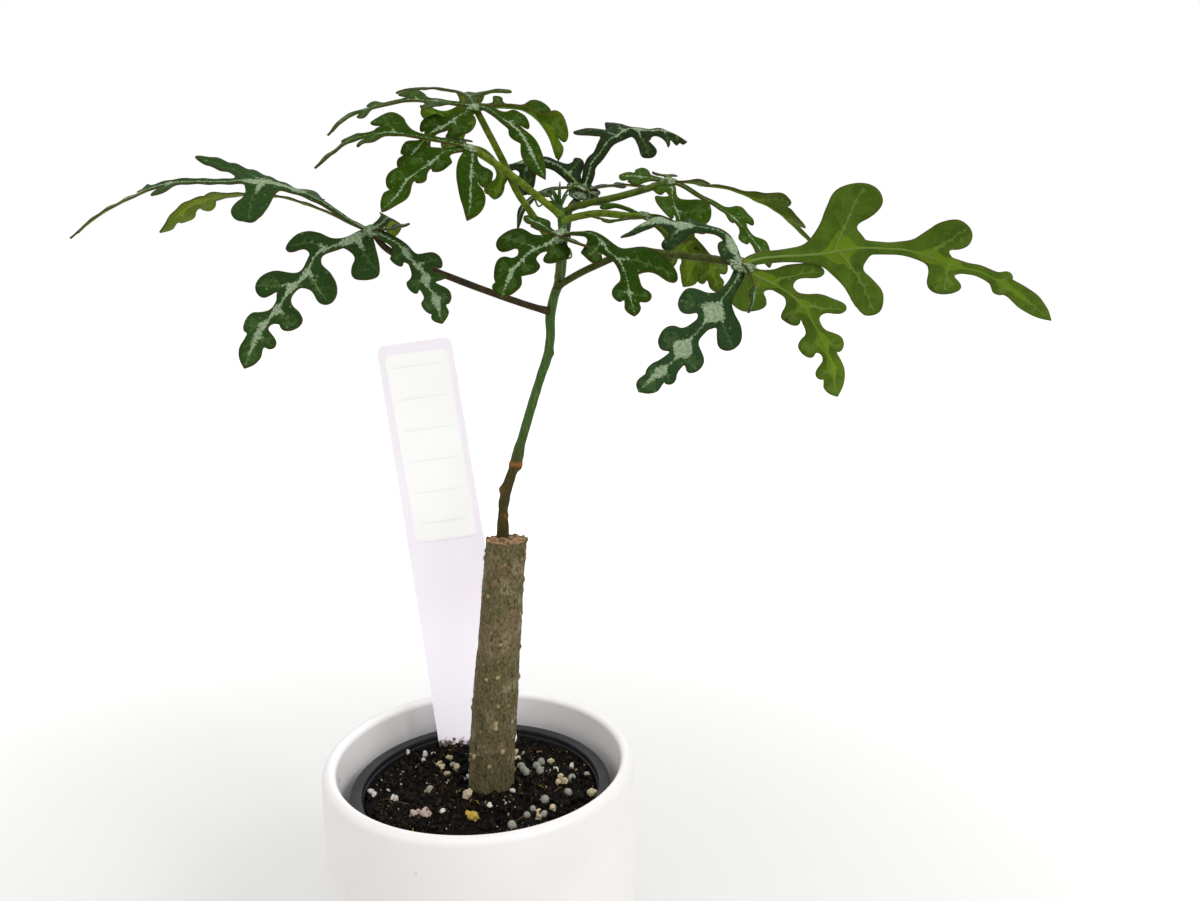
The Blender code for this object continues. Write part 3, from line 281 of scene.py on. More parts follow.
def arc(centre: Pair, radius: float, start: float, end: float,
        steps: int) -> list[Pair]:
    """Draws a part of a circle in a turned profile.

    Args:
        centre: Distance from the axis and height of the circle's centre.
        radius: The circle's radius.
        start: Angle of the first point in degrees.
        end: Angle of the last point in degrees.
        steps: Number of stretches between the two.

    Returns:
        Points as distance from the axis and height.
    """
    angles = [math.radians(start + (end - start) * step / steps) for step in range(steps + 1)]
    return [(centre[0] + radius * math.cos(a), centre[1] + radius * math.sin(a)) for a in angles]


def away_from(spot: object, places: Array) -> Array:
    """Measures how far each of some places lies from a spot."""
    return np.linalg.norm(places - np.array(spot), axis=1)


def marks_along(line: Array) -> Array:
    """Measures how far along a line each of its points lies."""
    return np.concatenate([[0.0], np.cumsum(np.linalg.norm(np.diff(line, axis=0), axis=1))])


def read_line(wanted: Array, marks: Array, line: Array) -> Array:
    """Gives the places at some distances along a line, whose points lie at the marks."""
    return np.column_stack([np.interp(wanted, marks, line[:, axis]) for axis in range(line.shape[1])])


def segment_distance(points: Array, start: Array, end: Array) -> tuple[Array, Array]:
    """Measures points against one straight stretch.

    Args:
        points: Places, one in each row.
        start: First end of the stretch.
        end: Second end of the stretch.

    Returns:
        The distance of each point, and how far along the stretch its nearest place lies, 0 to 1.
    """
    run = end - start
    along = np.clip((points - start) @ run / max(run @ run, 1e-9), 0.0, 1.0)
    return np.linalg.norm(points - start - along[:, None] * run, axis=1), along


def bell(values: Array) -> Array:
    """Falls from 1 at zero towards 0 on either side."""
    return np.exp(-values ** 2)


def smoothstep(values: Array, low: float, high: float) -> Array:
    """Rises softly from 0 at low to 1 at high."""
    t = np.clip((values - low) / (high - low), 0.0, 1.0)
    return t * t * (3 - 2 * t)


class NodeTree:
    """Adds nodes to one material or node group in plain steps."""

    def __init__(self, tree: bpy.types.NodeTree) -> None:
        """Takes the tree that nodes are added to."""
        self.tree = tree

    def add(self, kind: str, **settings: object) -> Node:
        """Adds a node.

        Args:
            kind: Type of the node.
            settings: Its properties, by name.

        Returns:
            The node.
        """
        node = self.tree.nodes.new(kind)
        for name, value in settings.items():
            setattr(node, name, value)
        return node

    def plug(self, socket: Socket, value: object) -> None:
        """Links an output to a socket, or sets the socket to a plain value.

        Args:
            socket: Input of a node.
            value: Output of another node, or a number, a vector or a colour.
        """
        if isinstance(value, Socket):
            self.tree.links.new(value, socket)
        elif isinstance(value, tuple) and socket.type == "RGBA":
            socket.default_value = (*value, 1.0)
        else:
            socket.default_value = value

    def feed(self, node: Node, *values: object, **named: object) -> bpy.types.bpy_prop_collection:
        """Plugs values into a node.

        Args:
            node: The node.
            values: Values of its first inputs, in their order.
            named: Values of inputs by name, with underscores for spaces.

        Returns:
            The node's outputs.
        """
        for socket, value in zip(node.inputs, values):
            self.plug(socket, value)
        for name, value in named.items():
            self.plug(node.inputs[name.replace("_", " ")], value)
        return node.outputs

    def math(self, operation: str, *values: object) -> Socket:
        """Works out one step of arithmetic."""
        return self.feed(self.add("ShaderNodeMath", operation=operation), *values)[0]

    def times(self, first: object, second: object) -> Socket:
        """Multiplies two numbers."""
        return self.math("MULTIPLY", first, second)

    def mix(self, factor: object, first: object, second: object, blend: str = "MIX") -> Socket:
        """Blends two colours.

        Args:
            factor: Share of the second colour.
            first: The colour underneath.
            second: The colour on top.
            blend: How they are blended.

        Returns:
            The new colour.
        """
        node = self.add("ShaderNodeMix", data_type="RGBA", blend_type=blend)
        for index, value in ((0, factor), (6, first), (7, second)):
            self.plug(node.inputs[index], value)
        return node.outputs[2]

    def tinted(self, colour: object, factors: Colour) -> Socket:
        """Multiplies a colour's red, green and blue."""
        return self.mix(1.0, colour, factors, "MULTIPLY")

    def step(self, value: object, low: object, high: object, bottom: float = 0.0, top: float = 1.0) -> Socket:
        """Rises softly from bottom to top while the value goes from low to high."""
        node = self.add("ShaderNodeMapRange", interpolation_type="SMOOTHSTEP")
        return self.feed(node, value, low, high, bottom, top)[0]

    def noise(self, vector: object, scale: object, detail: float = 3.0, rough: float = 0.55) -> Socket:
        """Adds soft noise and gives its value."""
        node = self.add("ShaderNodeTexNoise")
        return self.feed(node, Vector=vector, Scale=scale, Detail=detail, Roughness=rough)[0]

    def stretch(self, vector: object, scale: Point) -> Socket:
        """Scales a pattern's coordinates, each by its own factor."""
        return self.feed(self.add("ShaderNodeMapping"), Vector=vector, Scale=scale)[0]

    def axes(self, vector: object) -> list[Socket]:
        """Splits a place into its x, y and z."""
        return list(self.feed(self.add("ShaderNodeSeparateXYZ"), vector))

    def group(self, tree: bpy.types.NodeTree, *values: object) -> list[Socket]:
        """Places a node group with its inputs in their order, and gives its outputs."""
        return list(self.feed(self.add("ShaderNodeGroup", node_tree=tree), *values))


class Material(NodeTree):
    """One material around its Principled shader, whose colour is laid on coat by coat."""

    def __init__(self, name: str, colour: object = None) -> None:
        """Starts a material.

        Args:
            name: Its name.
            colour: The colour under all coats, or None where it is set later.
        """
        self.data = bpy.data.materials.new(name)
        self.data.use_nodes = True
        super().__init__(self.data.node_tree)
        self.shader = self.tree.nodes["Principled BSDF"]
        self.colour = colour

    def place(self) -> Socket:
        """Gives the place on the object, in metres."""
        return self.add("ShaderNodeTexCoord").outputs["Object"]

    def flat(self) -> Socket:
        """Gives the place on the piece laid flat."""
        return self.add("ShaderNodeUVMap", uv_map=FLAT_MAP).outputs[0]

    def reading(self, name: str) -> Socket:
        """Gives a number that the piece's mesh holds at each vertex."""
        return self.add("ShaderNodeAttribute", attribute_name=name).outputs["Fac"]

    def own_colour(self, name: str) -> Socket:
        """Gives a colour that the piece's mesh holds at each vertex."""
        return self.add("ShaderNodeAttribute", attribute_name=name).outputs["Color"]

    def coat(self, mask: object, colour: object, share: float = 1.0) -> None:
        """Lays a colour over those before it, where a mask says and by a share of it."""
        self.colour = self.mix(mask if share == 1.0 else self.times(mask, share), self.colour, colour)

    def bump(self, height: object, distance: float, strength: float = 1.0) -> Socket:
        """Turns a height of 0 to 1 into a normal, for relief of a given depth in metres."""
        return self.feed(self.add("ShaderNodeBump"), Height=height, Distance=distance, Strength=strength)[0]

    def finish(self, roughness: object, **sockets: object) -> Finish:
        """Sets the shader's colour, roughness and any other sockets, and gives the material."""
        self.feed(self.shader, Base_Color=self.colour, Roughness=roughness, **sockets)
        return self.data


class Effects:
    """The node groups that several finishes share, each built once."""

    def __init__(self) -> None:
        """Builds the groups."""
        self.flecks = self.make_flecks()
        self.net = self.make_net()
        self.dust = self.make_dust()

    @staticmethod
    def start(name: str, outputs: tuple[str, ...], **numbers: float) -> tuple[NodeTree, object, object]:
        """Starts a group that takes a vector and some numbers.

        Args:
            name: Name of the group.
            outputs: Names of its outputs, each a number.
            numbers: Starting value of each number that it takes, by name.

        Returns:
            A helper for the group, and the sockets that it takes and gives, by name.
        """
        tree = bpy.data.node_groups.new(name, "ShaderNodeTree")
        tree.interface.new_socket(name="Vector", in_out="INPUT", socket_type="NodeSocketVector")
        for label, value in numbers.items():
            socket = tree.interface.new_socket(name=label, in_out="INPUT", socket_type="NodeSocketFloat")
            socket.default_value = value
        for label in outputs:
            tree.interface.new_socket(name=label, in_out="OUTPUT", socket_type="NodeSocketFloat")
        group = NodeTree(tree)
        return group, group.add("NodeGroupInput").outputs, group.add("NodeGroupOutput").inputs

    def make_flecks(self) -> bpy.types.NodeTree:
        """Makes small rounded spots, scattered unevenly: soil on the label, pale dots on a leaf."""
        group, given, out = self.start("scattered_flecks", ("Mask",), Scale=100.0, Amount=0.3, Softness=0.1)
        cells = group.feed(group.add("ShaderNodeTexVoronoi"), Vector=given["Vector"], Scale=given["Scale"])
        chance = group.feed(group.add("ShaderNodeSeparateColor"), cells["Color"])[0]
        size = group.times(group.step(chance, 0.55, 1.0), given["Amount"])
        mask = group.step(cells["Distance"], size, group.math("ADD", size, given["Softness"]), 1.0, 0.0)
        group.plug(out["Mask"], group.times(mask, group.math("GREATER_THAN", size, 0.01)))
        return group.tree

    def make_net(self) -> bpy.types.NodeTree:
        """Makes the net of the finest veins of a leaf, as lines and as relief."""
        group, given, out = self.start("vein_net", ("Lines", "Relief"), Scale=30.0)
        vector, scale = given["Vector"], given["Scale"]
        wander = group.feed(group.add("ShaderNodeTexNoise"), Vector=vector, Scale=scale)["Color"]
        bend = group.add("ShaderNodeVectorMath", operation="MULTIPLY_ADD")
        cells = group.add("ShaderNodeTexVoronoi", feature="DISTANCE_TO_EDGE")
        bent = group.feed(bend, wander, (0.02, 0.02, 0.02), vector)[0]
        from_edge = group.feed(cells, Vector=bent, Scale=scale)[0]
        group.plug(out["Lines"], group.step(from_edge, 0.02, 0.11, 1.0, 0.0))
        group.plug(out["Relief"], group.step(from_edge, 0.0, 0.35))
        return group.tree

    def make_dust(self) -> bpy.types.NodeTree:
        """Makes fine dust and handling marks: a pale veil, and a change of gloss."""
        group, given, out = self.start("dust_and_marks", ("Veil", "Gloss"), Scale=40.0)
        broad = group.noise(given["Vector"], given["Scale"], 4.0)
        fine = group.noise(given["Vector"], group.times(given["Scale"], 9.0), 2.0)
        group.plug(out["Veil"], group.times(group.step(broad, 0.42, 0.75), group.step(fine, 0.35, 0.7)))
        group.plug(out["Gloss"], broad)
        return group.tree


def deselect() -> None:
    """Leaves nothing selected, so that an operator acts on the new piece alone."""
    bpy.ops.object.select_all(action="DESELECT")


def pick(obj: Piece) -> None:
    """Selects one object alone, for an operator to act on.

    Args:
        obj: The object.
    """
    deselect()
    obj.select_set(True)
    bpy.context.view_layer.objects.active = obj


def named(name: str) -> Piece:
    """Names the object that an operator has just made, and its mesh.

    Args:
        name: The name.

    Returns:
        The object.
    """
    obj = bpy.context.object
    obj.name = obj.data.name = name
    return obj


def placed(name: str, data: bpy.types.ID) -> Piece:
    """Adds an object to the scene.

    Args:
        name: Name of the object.
        data: What it shows.

    Returns:
        The object.
    """
    obj = bpy.data.objects.new(name, data)
    bpy.context.scene.collection.objects.link(obj)
    return obj


def settle(obj: Piece) -> Piece:
    """Applies an object's place and modifiers, so that it sits at the origin with its shape in its mesh.

    Args:
        obj: The object.

    Returns:
        The same object.
    """
    pick(obj)
    bpy.ops.object.transform_apply(location=True, rotation=True, scale=True)
    for modifier in list(obj.modifiers):
        bpy.ops.object.modifier_apply(modifier=modifier.name)
    return obj


def raise_rings(name: str, rings: list[tuple[float, Point]], sides: int) -> Piece:
    """Draws a round body out of a disc, ring by ring, with both its ends closed.

    Args:
        name: Name of the piece.
        rings: Radius and centre of each ring, from the first end to the last.
        sides: Number of sides of each ring.

    Returns:
        The body, with its faces outwards.
    """
    deselect()
    radius, centre = rings[0]
    bpy.ops.mesh.primitive_circle_add(vertices=sides, radius=radius * MM, fill_type="TRIFAN",
                                      location=Vector(centre) * MM)
    obj = named(name)
    bpy.ops.object.mode_set(mode="EDIT")
    bpy.ops.mesh.select_all(action="SELECT")
    for next_radius, next_centre in rings[1:]:
        move = (Vector(next_centre) - Vector(centre)) * MM
        bpy.ops.mesh.extrude_region_move(TRANSFORM_OT_translate={"value": move})
        change = next_radius / radius
        bpy.ops.transform.resize(value=(change, change, 1.0), center_override=Vector(next_centre) * MM)
        radius, centre = next_radius, next_centre
    bpy.ops.mesh.select_all(action="SELECT")
    bpy.ops.mesh.normals_make_consistent(inside=False)
    bpy.ops.object.mode_set(mode="OBJECT")
    return settle(obj)


def turned(name: str, profile: list[Pair], sides: int,
           centre: Pair = (0.0, 0.0)) -> Piece:
    """Makes a round body about an upright axis from its profile of (radius, height)."""
    return raise_rings(name, [(radius, (*centre, height)) for radius, height in profile], sides)


def shade(obj: Piece, angle: float = 35.0) -> None:
    """Shades a piece smooth, apart from the edges that are sharper than an angle in degrees."""
    pick(obj)
    bpy.ops.object.shade_smooth_by_angle(angle=math.radians(angle))


def places_of(mesh: Mesh) -> Array:
    """Reads a mesh's vertices in millimetres, one in each row.

    Args:
        mesh: The mesh.

    Returns:
        Their places.
    """
    flat = np.empty(len(mesh.vertices) * 3)
    mesh.vertices.foreach_get("co", flat)
    return flat.reshape(-1, 3) / MM


def move_vertices(mesh: Mesh, places: Array) -> None:
    """Puts a mesh's vertices at new places in millimetres."""
    mesh.vertices.foreach_set("co", (places * MM).ravel())
    mesh.update()


def normals_of(mesh: Mesh) -> Array:
    """Reads the outward direction at each vertex of a mesh.

    Args:
        mesh: The mesh.

    Returns:
        The directions, one in each row.
    """
    flat = np.empty(len(mesh.vertices) * 3)
    mesh.vertex_normals.foreach_get("vector", flat)
    return flat.reshape(-1, 3)


def noise_at(places: Array, pitch: float | Point) -> Array:
    """Gives soft noise, about -0.5 to 0.5, at places in millimetres.

    Args:
        places: Places in millimetres.
        pitch: Size of the pattern's blotches in millimetres, or their sizes along x, y and z.

    Returns:
        One number for each place.
    """
    return np.array([noise.noise(Vector(row)) for row in places / np.array(pitch)])


def write_number(mesh: Mesh, name: str, values: Array) -> None:
    """Keeps a number at each vertex of a mesh for its material to read."""
    mesh.attributes.new(name, "FLOAT", "POINT").data.foreach_set("value", np.asarray(values, float))


def write_colour(mesh: Mesh, name: str, colours: Array) -> None:
    """Keeps a colour at each vertex of a mesh for its material to read."""
    full = np.hstack([colours, np.ones((len(colours), 1))])
    mesh.attributes.new(name, "FLOAT_COLOR", "POINT").data.foreach_set("color", full.ravel())


@dataclass
class Batch:
    """Gathers shapes, with what is read at their vertices, and makes one mesh of them."""

    places: list[Array] = field(default_factory=list)
    faces: Faces = field(default_factory=list)
    finishes: list[int] = field(default_factory=list)
    readings: dict[str, list[Array]] = field(default_factory=dict)
    count: int = 0

    def add(self, places: Array, faces: Faces, finish: int | list[int] = 0,
            **readings: object) -> None:
        """Adds one shape.

        Args:
            places: Its vertices in millimetres.
            faces: Its faces, as numbers of its own vertices.
            finish: Index of the material, for all faces or for each.
            readings: Numbers or colours at its vertices, or one for all of them.
        """
        self.places.append(places)
        self.faces += [[index + self.count for index in face] for face in faces]
        self.finishes += [finish] * len(faces) if isinstance(finish, int) else finish
        for name, value in readings.items():
            given = np.asarray(value, float)
            if given.ndim == 0 or given.shape == (3,):
                given = np.broadcast_to(given, (len(places), *given.shape))
            self.readings.setdefault(name, []).append(given)
        self.count += len(places)

    def make(self, name: str, materials: list[Finish]) -> Piece:
        """Makes one smooth object of all that was added.

        Args:
            name: Name of the object.
            materials: Its materials, in the order of their indices.

        Returns:
            The object.
        """
        mesh = bpy.data.meshes.new(name)
        mesh.from_pydata(np.vstack(self.places) * MM, [], self.faces)
        for material in materials:
            mesh.materials.append(material)
        mesh.polygons.foreach_set("material_index", self.finishes)
        for reading, parts in self.readings.items():
            values = np.concatenate(parts)
            if reading == FLAT_MAP:
                self.write_map(mesh, values)
            elif values.ndim == 2:
                write_colour(mesh, reading, values)
            else:
                write_number(mesh, reading, values)
        mesh.shade_smooth()
        return placed(name, mesh)

    @staticmethod
    def write_map(mesh: Mesh, flat: Array) -> None:
        """Lays the flat places of the vertices out as the mesh's UV map.

        Args:
            mesh: The mesh.
            flat: Flat place of each vertex, one in each row.
        """
        corners = np.empty(len(mesh.loops), np.int32)
        mesh.loops.foreach_get("vertex_index", corners)
        layer = mesh.uv_layers.new(name=FLAT_MAP)
        layer.data.foreach_set("uv", flat[corners][:, :2].ravel())


def ring_faces(rings: int, sides: int) -> Faces:
    """Joins rings of vertices, and closes both ends with the two points that follow them all.

    Args:
        rings: Number of rings.
        sides: Number of sides of each.

    Returns:
        The sides' faces, ring by ring, and then those of the ends by turns.
    """
    faces = []
    for ring in range(rings - 1):
        for turn in range(sides):
            low, high = ring * sides + turn, ring * sides + (turn + 1) % sides
            faces.append([low, high, high + sides, low + sides])
    first, last, final = rings * sides, rings * sides + 1, (rings - 1) * sides
    for turn in range(sides):
        after = (turn + 1) % sides
        faces += [[first, after, turn], [last, final + turn, final + after]]
    return faces


def tube(path: Array, radii: Array, sides: int) -> tuple[Array, Faces]:
    """Wraps a path with rings that don't twist, and closes both ends with a low point.

    Args:
        path: Places that the tube follows.
        radii: Its radius at each of them.
        sides: Number of sides.

    Returns:
        The tube's vertices and faces.
    """
    ahead = unit(np.gradient(path, axis=0))
    side = np.cross(ahead[0], (0.3, 0.8, 0.52))
    angles = np.arange(sides) * math.tau / sides
    rings = []
    for place, way, radius in zip(path, ahead, radii):
        side = unit(side - way * (side @ way))
        across = np.cross(way, side)
        rings.append(place + radius * (np.outer(np.cos(angles), side) + np.outer(np.sin(angles), across)))
    ends = [path[0] - ahead[0] * radii[0] * 0.4, path[-1] + ahead[-1] * radii[-1] * 0.6]
    return np.vstack([*rings, ends]), ring_faces(len(path), sides)


def tube_centres(path: Array, sides: int) -> Array:
    """Gives the place on the path that each vertex of a tube belongs to."""
    return np.vstack([np.repeat(path, sides, axis=0), path[:1], path[-1:]])


def finish_piece(obj: Piece, slot: str, *nodes: str) -> None:
    """Fastens a piece to the part, and hides the part's nodes that it stands for.

    Args:
        obj: The piece.
        slot: Name of its material slot; not used.
        nodes: Nodes of the part that it stands for.
    """
    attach(obj, BODY)
    if nodes:
        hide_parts(*nodes)
    LOG.info("%s: %d faces", obj.name, len(obj.data.polygons))


@dataclass(frozen=True)
class GlazedCeramic:
    """White glaze, a little uneven and faintly dusty, over pale clay under the foot, and painted paler inside
    as painted light that the glaze throws about.
    """

    glaze: Colour = (0.76, 0.74, 0.735)
    # Painted light: the paler colour of the inner wall and floor, for the light that the glaze throws about
    # inside the pot.
    inside: Colour = (0.93, 0.915, 0.90)
    shade: Colour = (0.66, 0.645, 0.61)
    clay: Colour = (0.60, 0.53, 0.44)
    dirt: Colour = (0.10, 0.07, 0.05)
    roughness: float = 0.32
    inner_light_square: Pair = (0.0033, 0.0037)

    def build(self, effects: Effects) -> Finish:
        """Makes the material.

        Args:
            effects: Node groups that the finishes share.

        Returns:
            The material.
        """
        mat = Material("glazed_ceramic", self.glaze)
        place = mat.place()
        across, deep, high = mat.axes(place)
        veil, gloss = mat.group(effects.dust, place, 30.0)
        mat.coat(mat.step(mat.noise(place, 22.0), 0.35, 0.7), self.shade, 0.35)
        # Painted light: everything within the rim's middle, the inner wall and floor, is painted paler.
        square = mat.math("MULTIPLY_ADD", across, across, mat.times(deep, deep))
        mat.coat(mat.step(square, *self.inner_light_square, 1.0, 0.0), self.inside)
        mat.coat(veil, self.shade, 0.10)
        specks = mat.group(effects.flecks, place, 70.0, 0.10, 0.03)[0]
        specks = mat.times(specks, mat.step(mat.noise(place, 60.0, 1.0), 0.60, 0.66))
        mat.coat(mat.times(specks, mat.step(high, 0.075, 0.1)), self.dirt)
        foot = mat.step(high, 0.0003, 0.0012, 1.0, 0.0)
        mat.coat(foot, self.clay)
        rough = mat.math("MULTIPLY_ADD", foot, 0.5, mat.math("MULTIPLY_ADD", gloss, 0.12, self.roughness))
        return mat.finish(rough, Normal=mat.bump(mat.noise(place, 55.0, 2.0), 0.0001, 0.25))


@dataclass(frozen=True)
class BlackPlastic:
    """Thin black plastic of a grower's pot, satin and dusty with dry soil."""

    plastic: Colour = (0.012, 0.012, 0.014)
    worn: Colour = (0.030, 0.030, 0.033)
    dust: Colour = (0.10, 0.075, 0.05)

    def build(self, effects: Effects) -> Finish:
        """Makes the material.

        Args:
            effects: Node groups that the finishes share.

        Returns:
            The material.
        """
        mat = Material("black_plastic", self.plastic)
        place = mat.place()
        veil, gloss = mat.group(effects.dust, place, 45.0)
        scuffs = mat.noise(mat.stretch(place, (60.0, 60.0, 900.0)), 1.0, 4.0)
        mat.coat(mat.step(scuffs, 0.52, 0.72), self.worn, 0.5)
        mat.coat(veil, self.dust, 0.25)
        relief = mat.bump(mat.noise(place, 900.0, 2.0), 0.0001, 0.4)
        return mat.finish(mat.step(gloss, 0.3, 0.7, 0.34, 0.55), Normal=relief, Specular_IOR_Level=0.22)


@dataclass(frozen=True)
class PottingSoil:
    """Moist black soil, brown where it has dried, and the grains' own colours on top of it."""

    wet: Colour = (0.0024, 0.0020, 0.0018)
    dry: Colour = (0.0075, 0.0056, 0.0042)
    bark: Colour = (0.018, 0.0115, 0.0070)
    chip: Colour = (0.38, 0.35, 0.27)

    def build(self, effects: Effects) -> Finish:
        """Makes the material.

        Args:
            effects: Node groups that the finishes share.

        Returns:
            The material.
        """
        mat = Material("potting_soil", self.wet)
        place = mat.place()
        damp = mat.step(mat.noise(place, 120.0, 4.0), 0.45, 0.7)
        grit = mat.noise(place, 1400.0)
        mat.coat(damp, self.dry, 0.55)
        mat.coat(mat.group(effects.flecks, place, 420.0, 0.34, 0.06)[0], self.bark, 0.45)
        pale = mat.group(effects.flecks, mat.stretch(place, (1.0, 1.3, 1.0)), 460.0, 0.17, 0.05)[0]
        mat.coat(mat.times(pale, mat.step(mat.noise(place, 300.0, 1.0), 0.49, 0.57)), self.chip)
        grain = mat.mix(mat.step(grit, 0.35, 0.7, 0.0, 0.30), mat.own_colour("grain"), self.bark)
        mat.coat(mat.reading("grain_mix"), grain)
        return mat.finish(mat.step(damp, 0.0, 1.0, 0.62, 0.95), Normal=mat.bump(grit, 0.0006, 0.7),
                          Specular_IOR_Level=0.08)


@dataclass(frozen=True)
class TrunkBark:
    """Grey-brown bark with green streaks and cream pores, and the corky brown cut face."""

    brown: Colour = (0.158, 0.117, 0.060)
    olive: Colour = (0.114, 0.098, 0.040)
    grey: Colour = (0.245, 0.203, 0.118)
    dark: Colour = (0.022, 0.017, 0.009)
    pore: Colour = (0.44, 0.36, 0.20)
    rust: Colour = (0.20, 0.105, 0.050)
    speck: Colour = (0.25, 0.23, 0.14)
    cork: Colour = (0.20, 0.105, 0.045)
    cork_pale: Colour = (0.42, 0.27, 0.14)

    def build(self, effects: Effects) -> Finish:
        """Makes the material.

        Args:
            effects: Node groups that the finishes share.

        Returns:
            The material.
        """
        mat = Material("trunk_bark", self.olive)
        place = mat.place()
        streaks = mat.noise(mat.stretch(place, (700.0, 700.0, 90.0)), 1.0, 5.0, 0.7)
        fine = mat.noise(mat.stretch(place, (1.0, 1.0, 0.6)), 1100.0, 3.0, 0.65)
        mat.coat(mat.step(mat.noise(place, 75.0), 0.42, 0.60), self.brown)
        mat.coat(mat.step(mat.noise(place, 130.0, 4.0), 0.52, 0.70, 0.0, 0.75), self.grey)
        mat.coat(mat.step(streaks, 0.30, 0.46, 0.85, 0.0), self.dark)
        mat.coat(mat.step(fine, 0.38, 0.50, 0.65, 0.0), self.dark)
        mat.coat(mat.step(fine, 0.58, 0.72, 0.0, 0.55), self.grey)
        mat.coat(mat.group(effects.flecks, place, 330.0, 0.24, 0.08)[0], self.pore, 0.28)
        mat.coat(mat.group(effects.flecks, place, 760.0, 0.30, 0.12)[0], self.speck, 0.38)
        knob = mat.mix(mat.step(mat.noise(place, 90.0, 1.0), 0.46, 0.54), self.pore, self.rust)
        mat.coat(mat.step(mat.reading("wart"), 0.35, 0.75, 0.0, 0.9), knob)
        cork = mat.mix(mat.step(fine, 0.40, 0.62), self.cork, self.cork_pale)
        cork = mat.mix(mat.step(mat.noise(place, 420.0, 4.0), 0.36, 0.46, 0.8, 0.0), cork, self.dark)
        mat.coat(mat.reading("cut"), cork)
        height = mat.math("ADD", mat.times(streaks, 0.6), mat.times(fine, 0.5))
        return mat.finish(mat.step(fine, 0.3, 0.7, 0.95, 0.72), Normal=mat.bump(height, 0.0008, 0.8),
                          Specular_IOR_Level=0.2)


@dataclass(frozen=True)
class GreenStem:
    """Green stem skin, browner and corky towards the trunk, with fine pale stripes."""

    young: Colour = (0.045, 0.100, 0.022)
    pale: Colour = (0.140, 0.165, 0.042)
    brown: Colour = (0.050, 0.037, 0.013)
    dark: Colour = (0.016, 0.026, 0.010)
    ring: Colour = (0.30, 0.11, 0.035)
    corky: Pair = (0.224, 0.246)

    def build(self, effects: Effects) -> Finish:
        """Makes the material.

        Args:
            effects: Node groups that the finishes share.

        Returns:
            The material.
        """
        mat = Material("green_stem", self.young)
        place = mat.place()
        wander = mat.math("MULTIPLY_ADD", mat.noise(place, 260.0), 0.03, -0.015)
        bark = mat.step(mat.math("ADD", mat.axes(place)[2], wander), *self.corky, 0.92, 0.0)
        stripes = mat.noise(mat.stretch(place, (1500.0, 1500.0, 130.0)), 1.0)
        mat.coat(mat.step(stripes, 0.50, 0.72, 0.0, 0.7), self.pale)
        mat.coat(mat.step(stripes, 0.28, 0.44, 0.6, 0.0), self.dark)
        mat.coat(bark, self.brown)
        mat.coat(mat.group(effects.flecks, place, 700.0, 0.25, 0.08)[0], self.pale, 0.4)
        mat.coat(mat.reading("ring"), self.ring)
        relief = mat.bump(mat.math("ADD", stripes, mat.times(bark, stripes)), 0.0003, 0.5)
        return mat.finish(mat.step(bark, 0.0, 1.0, 0.42, 0.8), Normal=relief, Specular_IOR_Level=0.08)


@dataclass(frozen=True)
class LeafUpper:
    """Upper face of a leaf: its green, the silver along the veins, and a thin red margin."""

    silver: Colour = (0.275, 0.335, 0.215)
    silver_soft: Colour = (0.145, 0.205, 0.120)
    margin: Colour = (0.085, 0.038, 0.018)
    vein: Colour = (0.14, 0.22, 0.07)
    fleck: Colour = (0.16, 0.23, 0.08)
    deep: Colour = (0.010, 0.025, 0.004)

    def build(self, effects: Effects) -> Finish:
        """Makes the material.

        Args:
            effects: Node groups that the finishes share.

        Returns:
            The material.
        """
        mat = Material("leaf_upper")
        mat.colour = mat.own_colour("tone")
        flat, veins = mat.flat(), mat.reading("vein")
        lines, net_relief = mat.group(effects.net, flat, NET_SCALE)
        broad = mat.noise(flat, 9.0)
        mat.coat(mat.step(broad, 0.35, 0.70, 0.0, 0.40), self.deep)
        mat.coat(lines, self.vein, 0.05)
        jag = mat.math("MULTIPLY_ADD", mat.noise(flat, 105.0, 4.0, 0.7), 4.4, -2.2)
        depth = mat.math("ADD", mat.reading("silver"), jag)
        mat.coat(mat.step(depth, -0.30, 0.15, 0.0, 0.22), self.silver_soft)
        patch = mat.step(depth, 0.0, 0.30)
        mat.coat(patch, mat.mix(mat.step(mat.noise(flat, 95.0), 0.35, 0.65), self.silver_soft, self.silver))
        mat.coat(mat.group(effects.flecks, flat, 55.0, 0.24, 0.10)[0], self.fleck, 0.35)
        mat.coat(mat.step(veins, 0.02, 0.30, 0.22, 0.0), self.vein)
        mat.coat(mat.step(mat.reading("edge"), 0.05, 0.42, 0.65, 0.0), self.margin)
        rough = mat.step(mat.math("ADD", patch, broad), 0.3, 1.5, 0.46, 0.6)
        height = mat.math("ADD", net_relief, mat.step(veins, 0.0, 0.8))
        return mat.finish(rough, Normal=mat.bump(height, 0.0002, 0.45), Specular_IOR_Level=0.012)


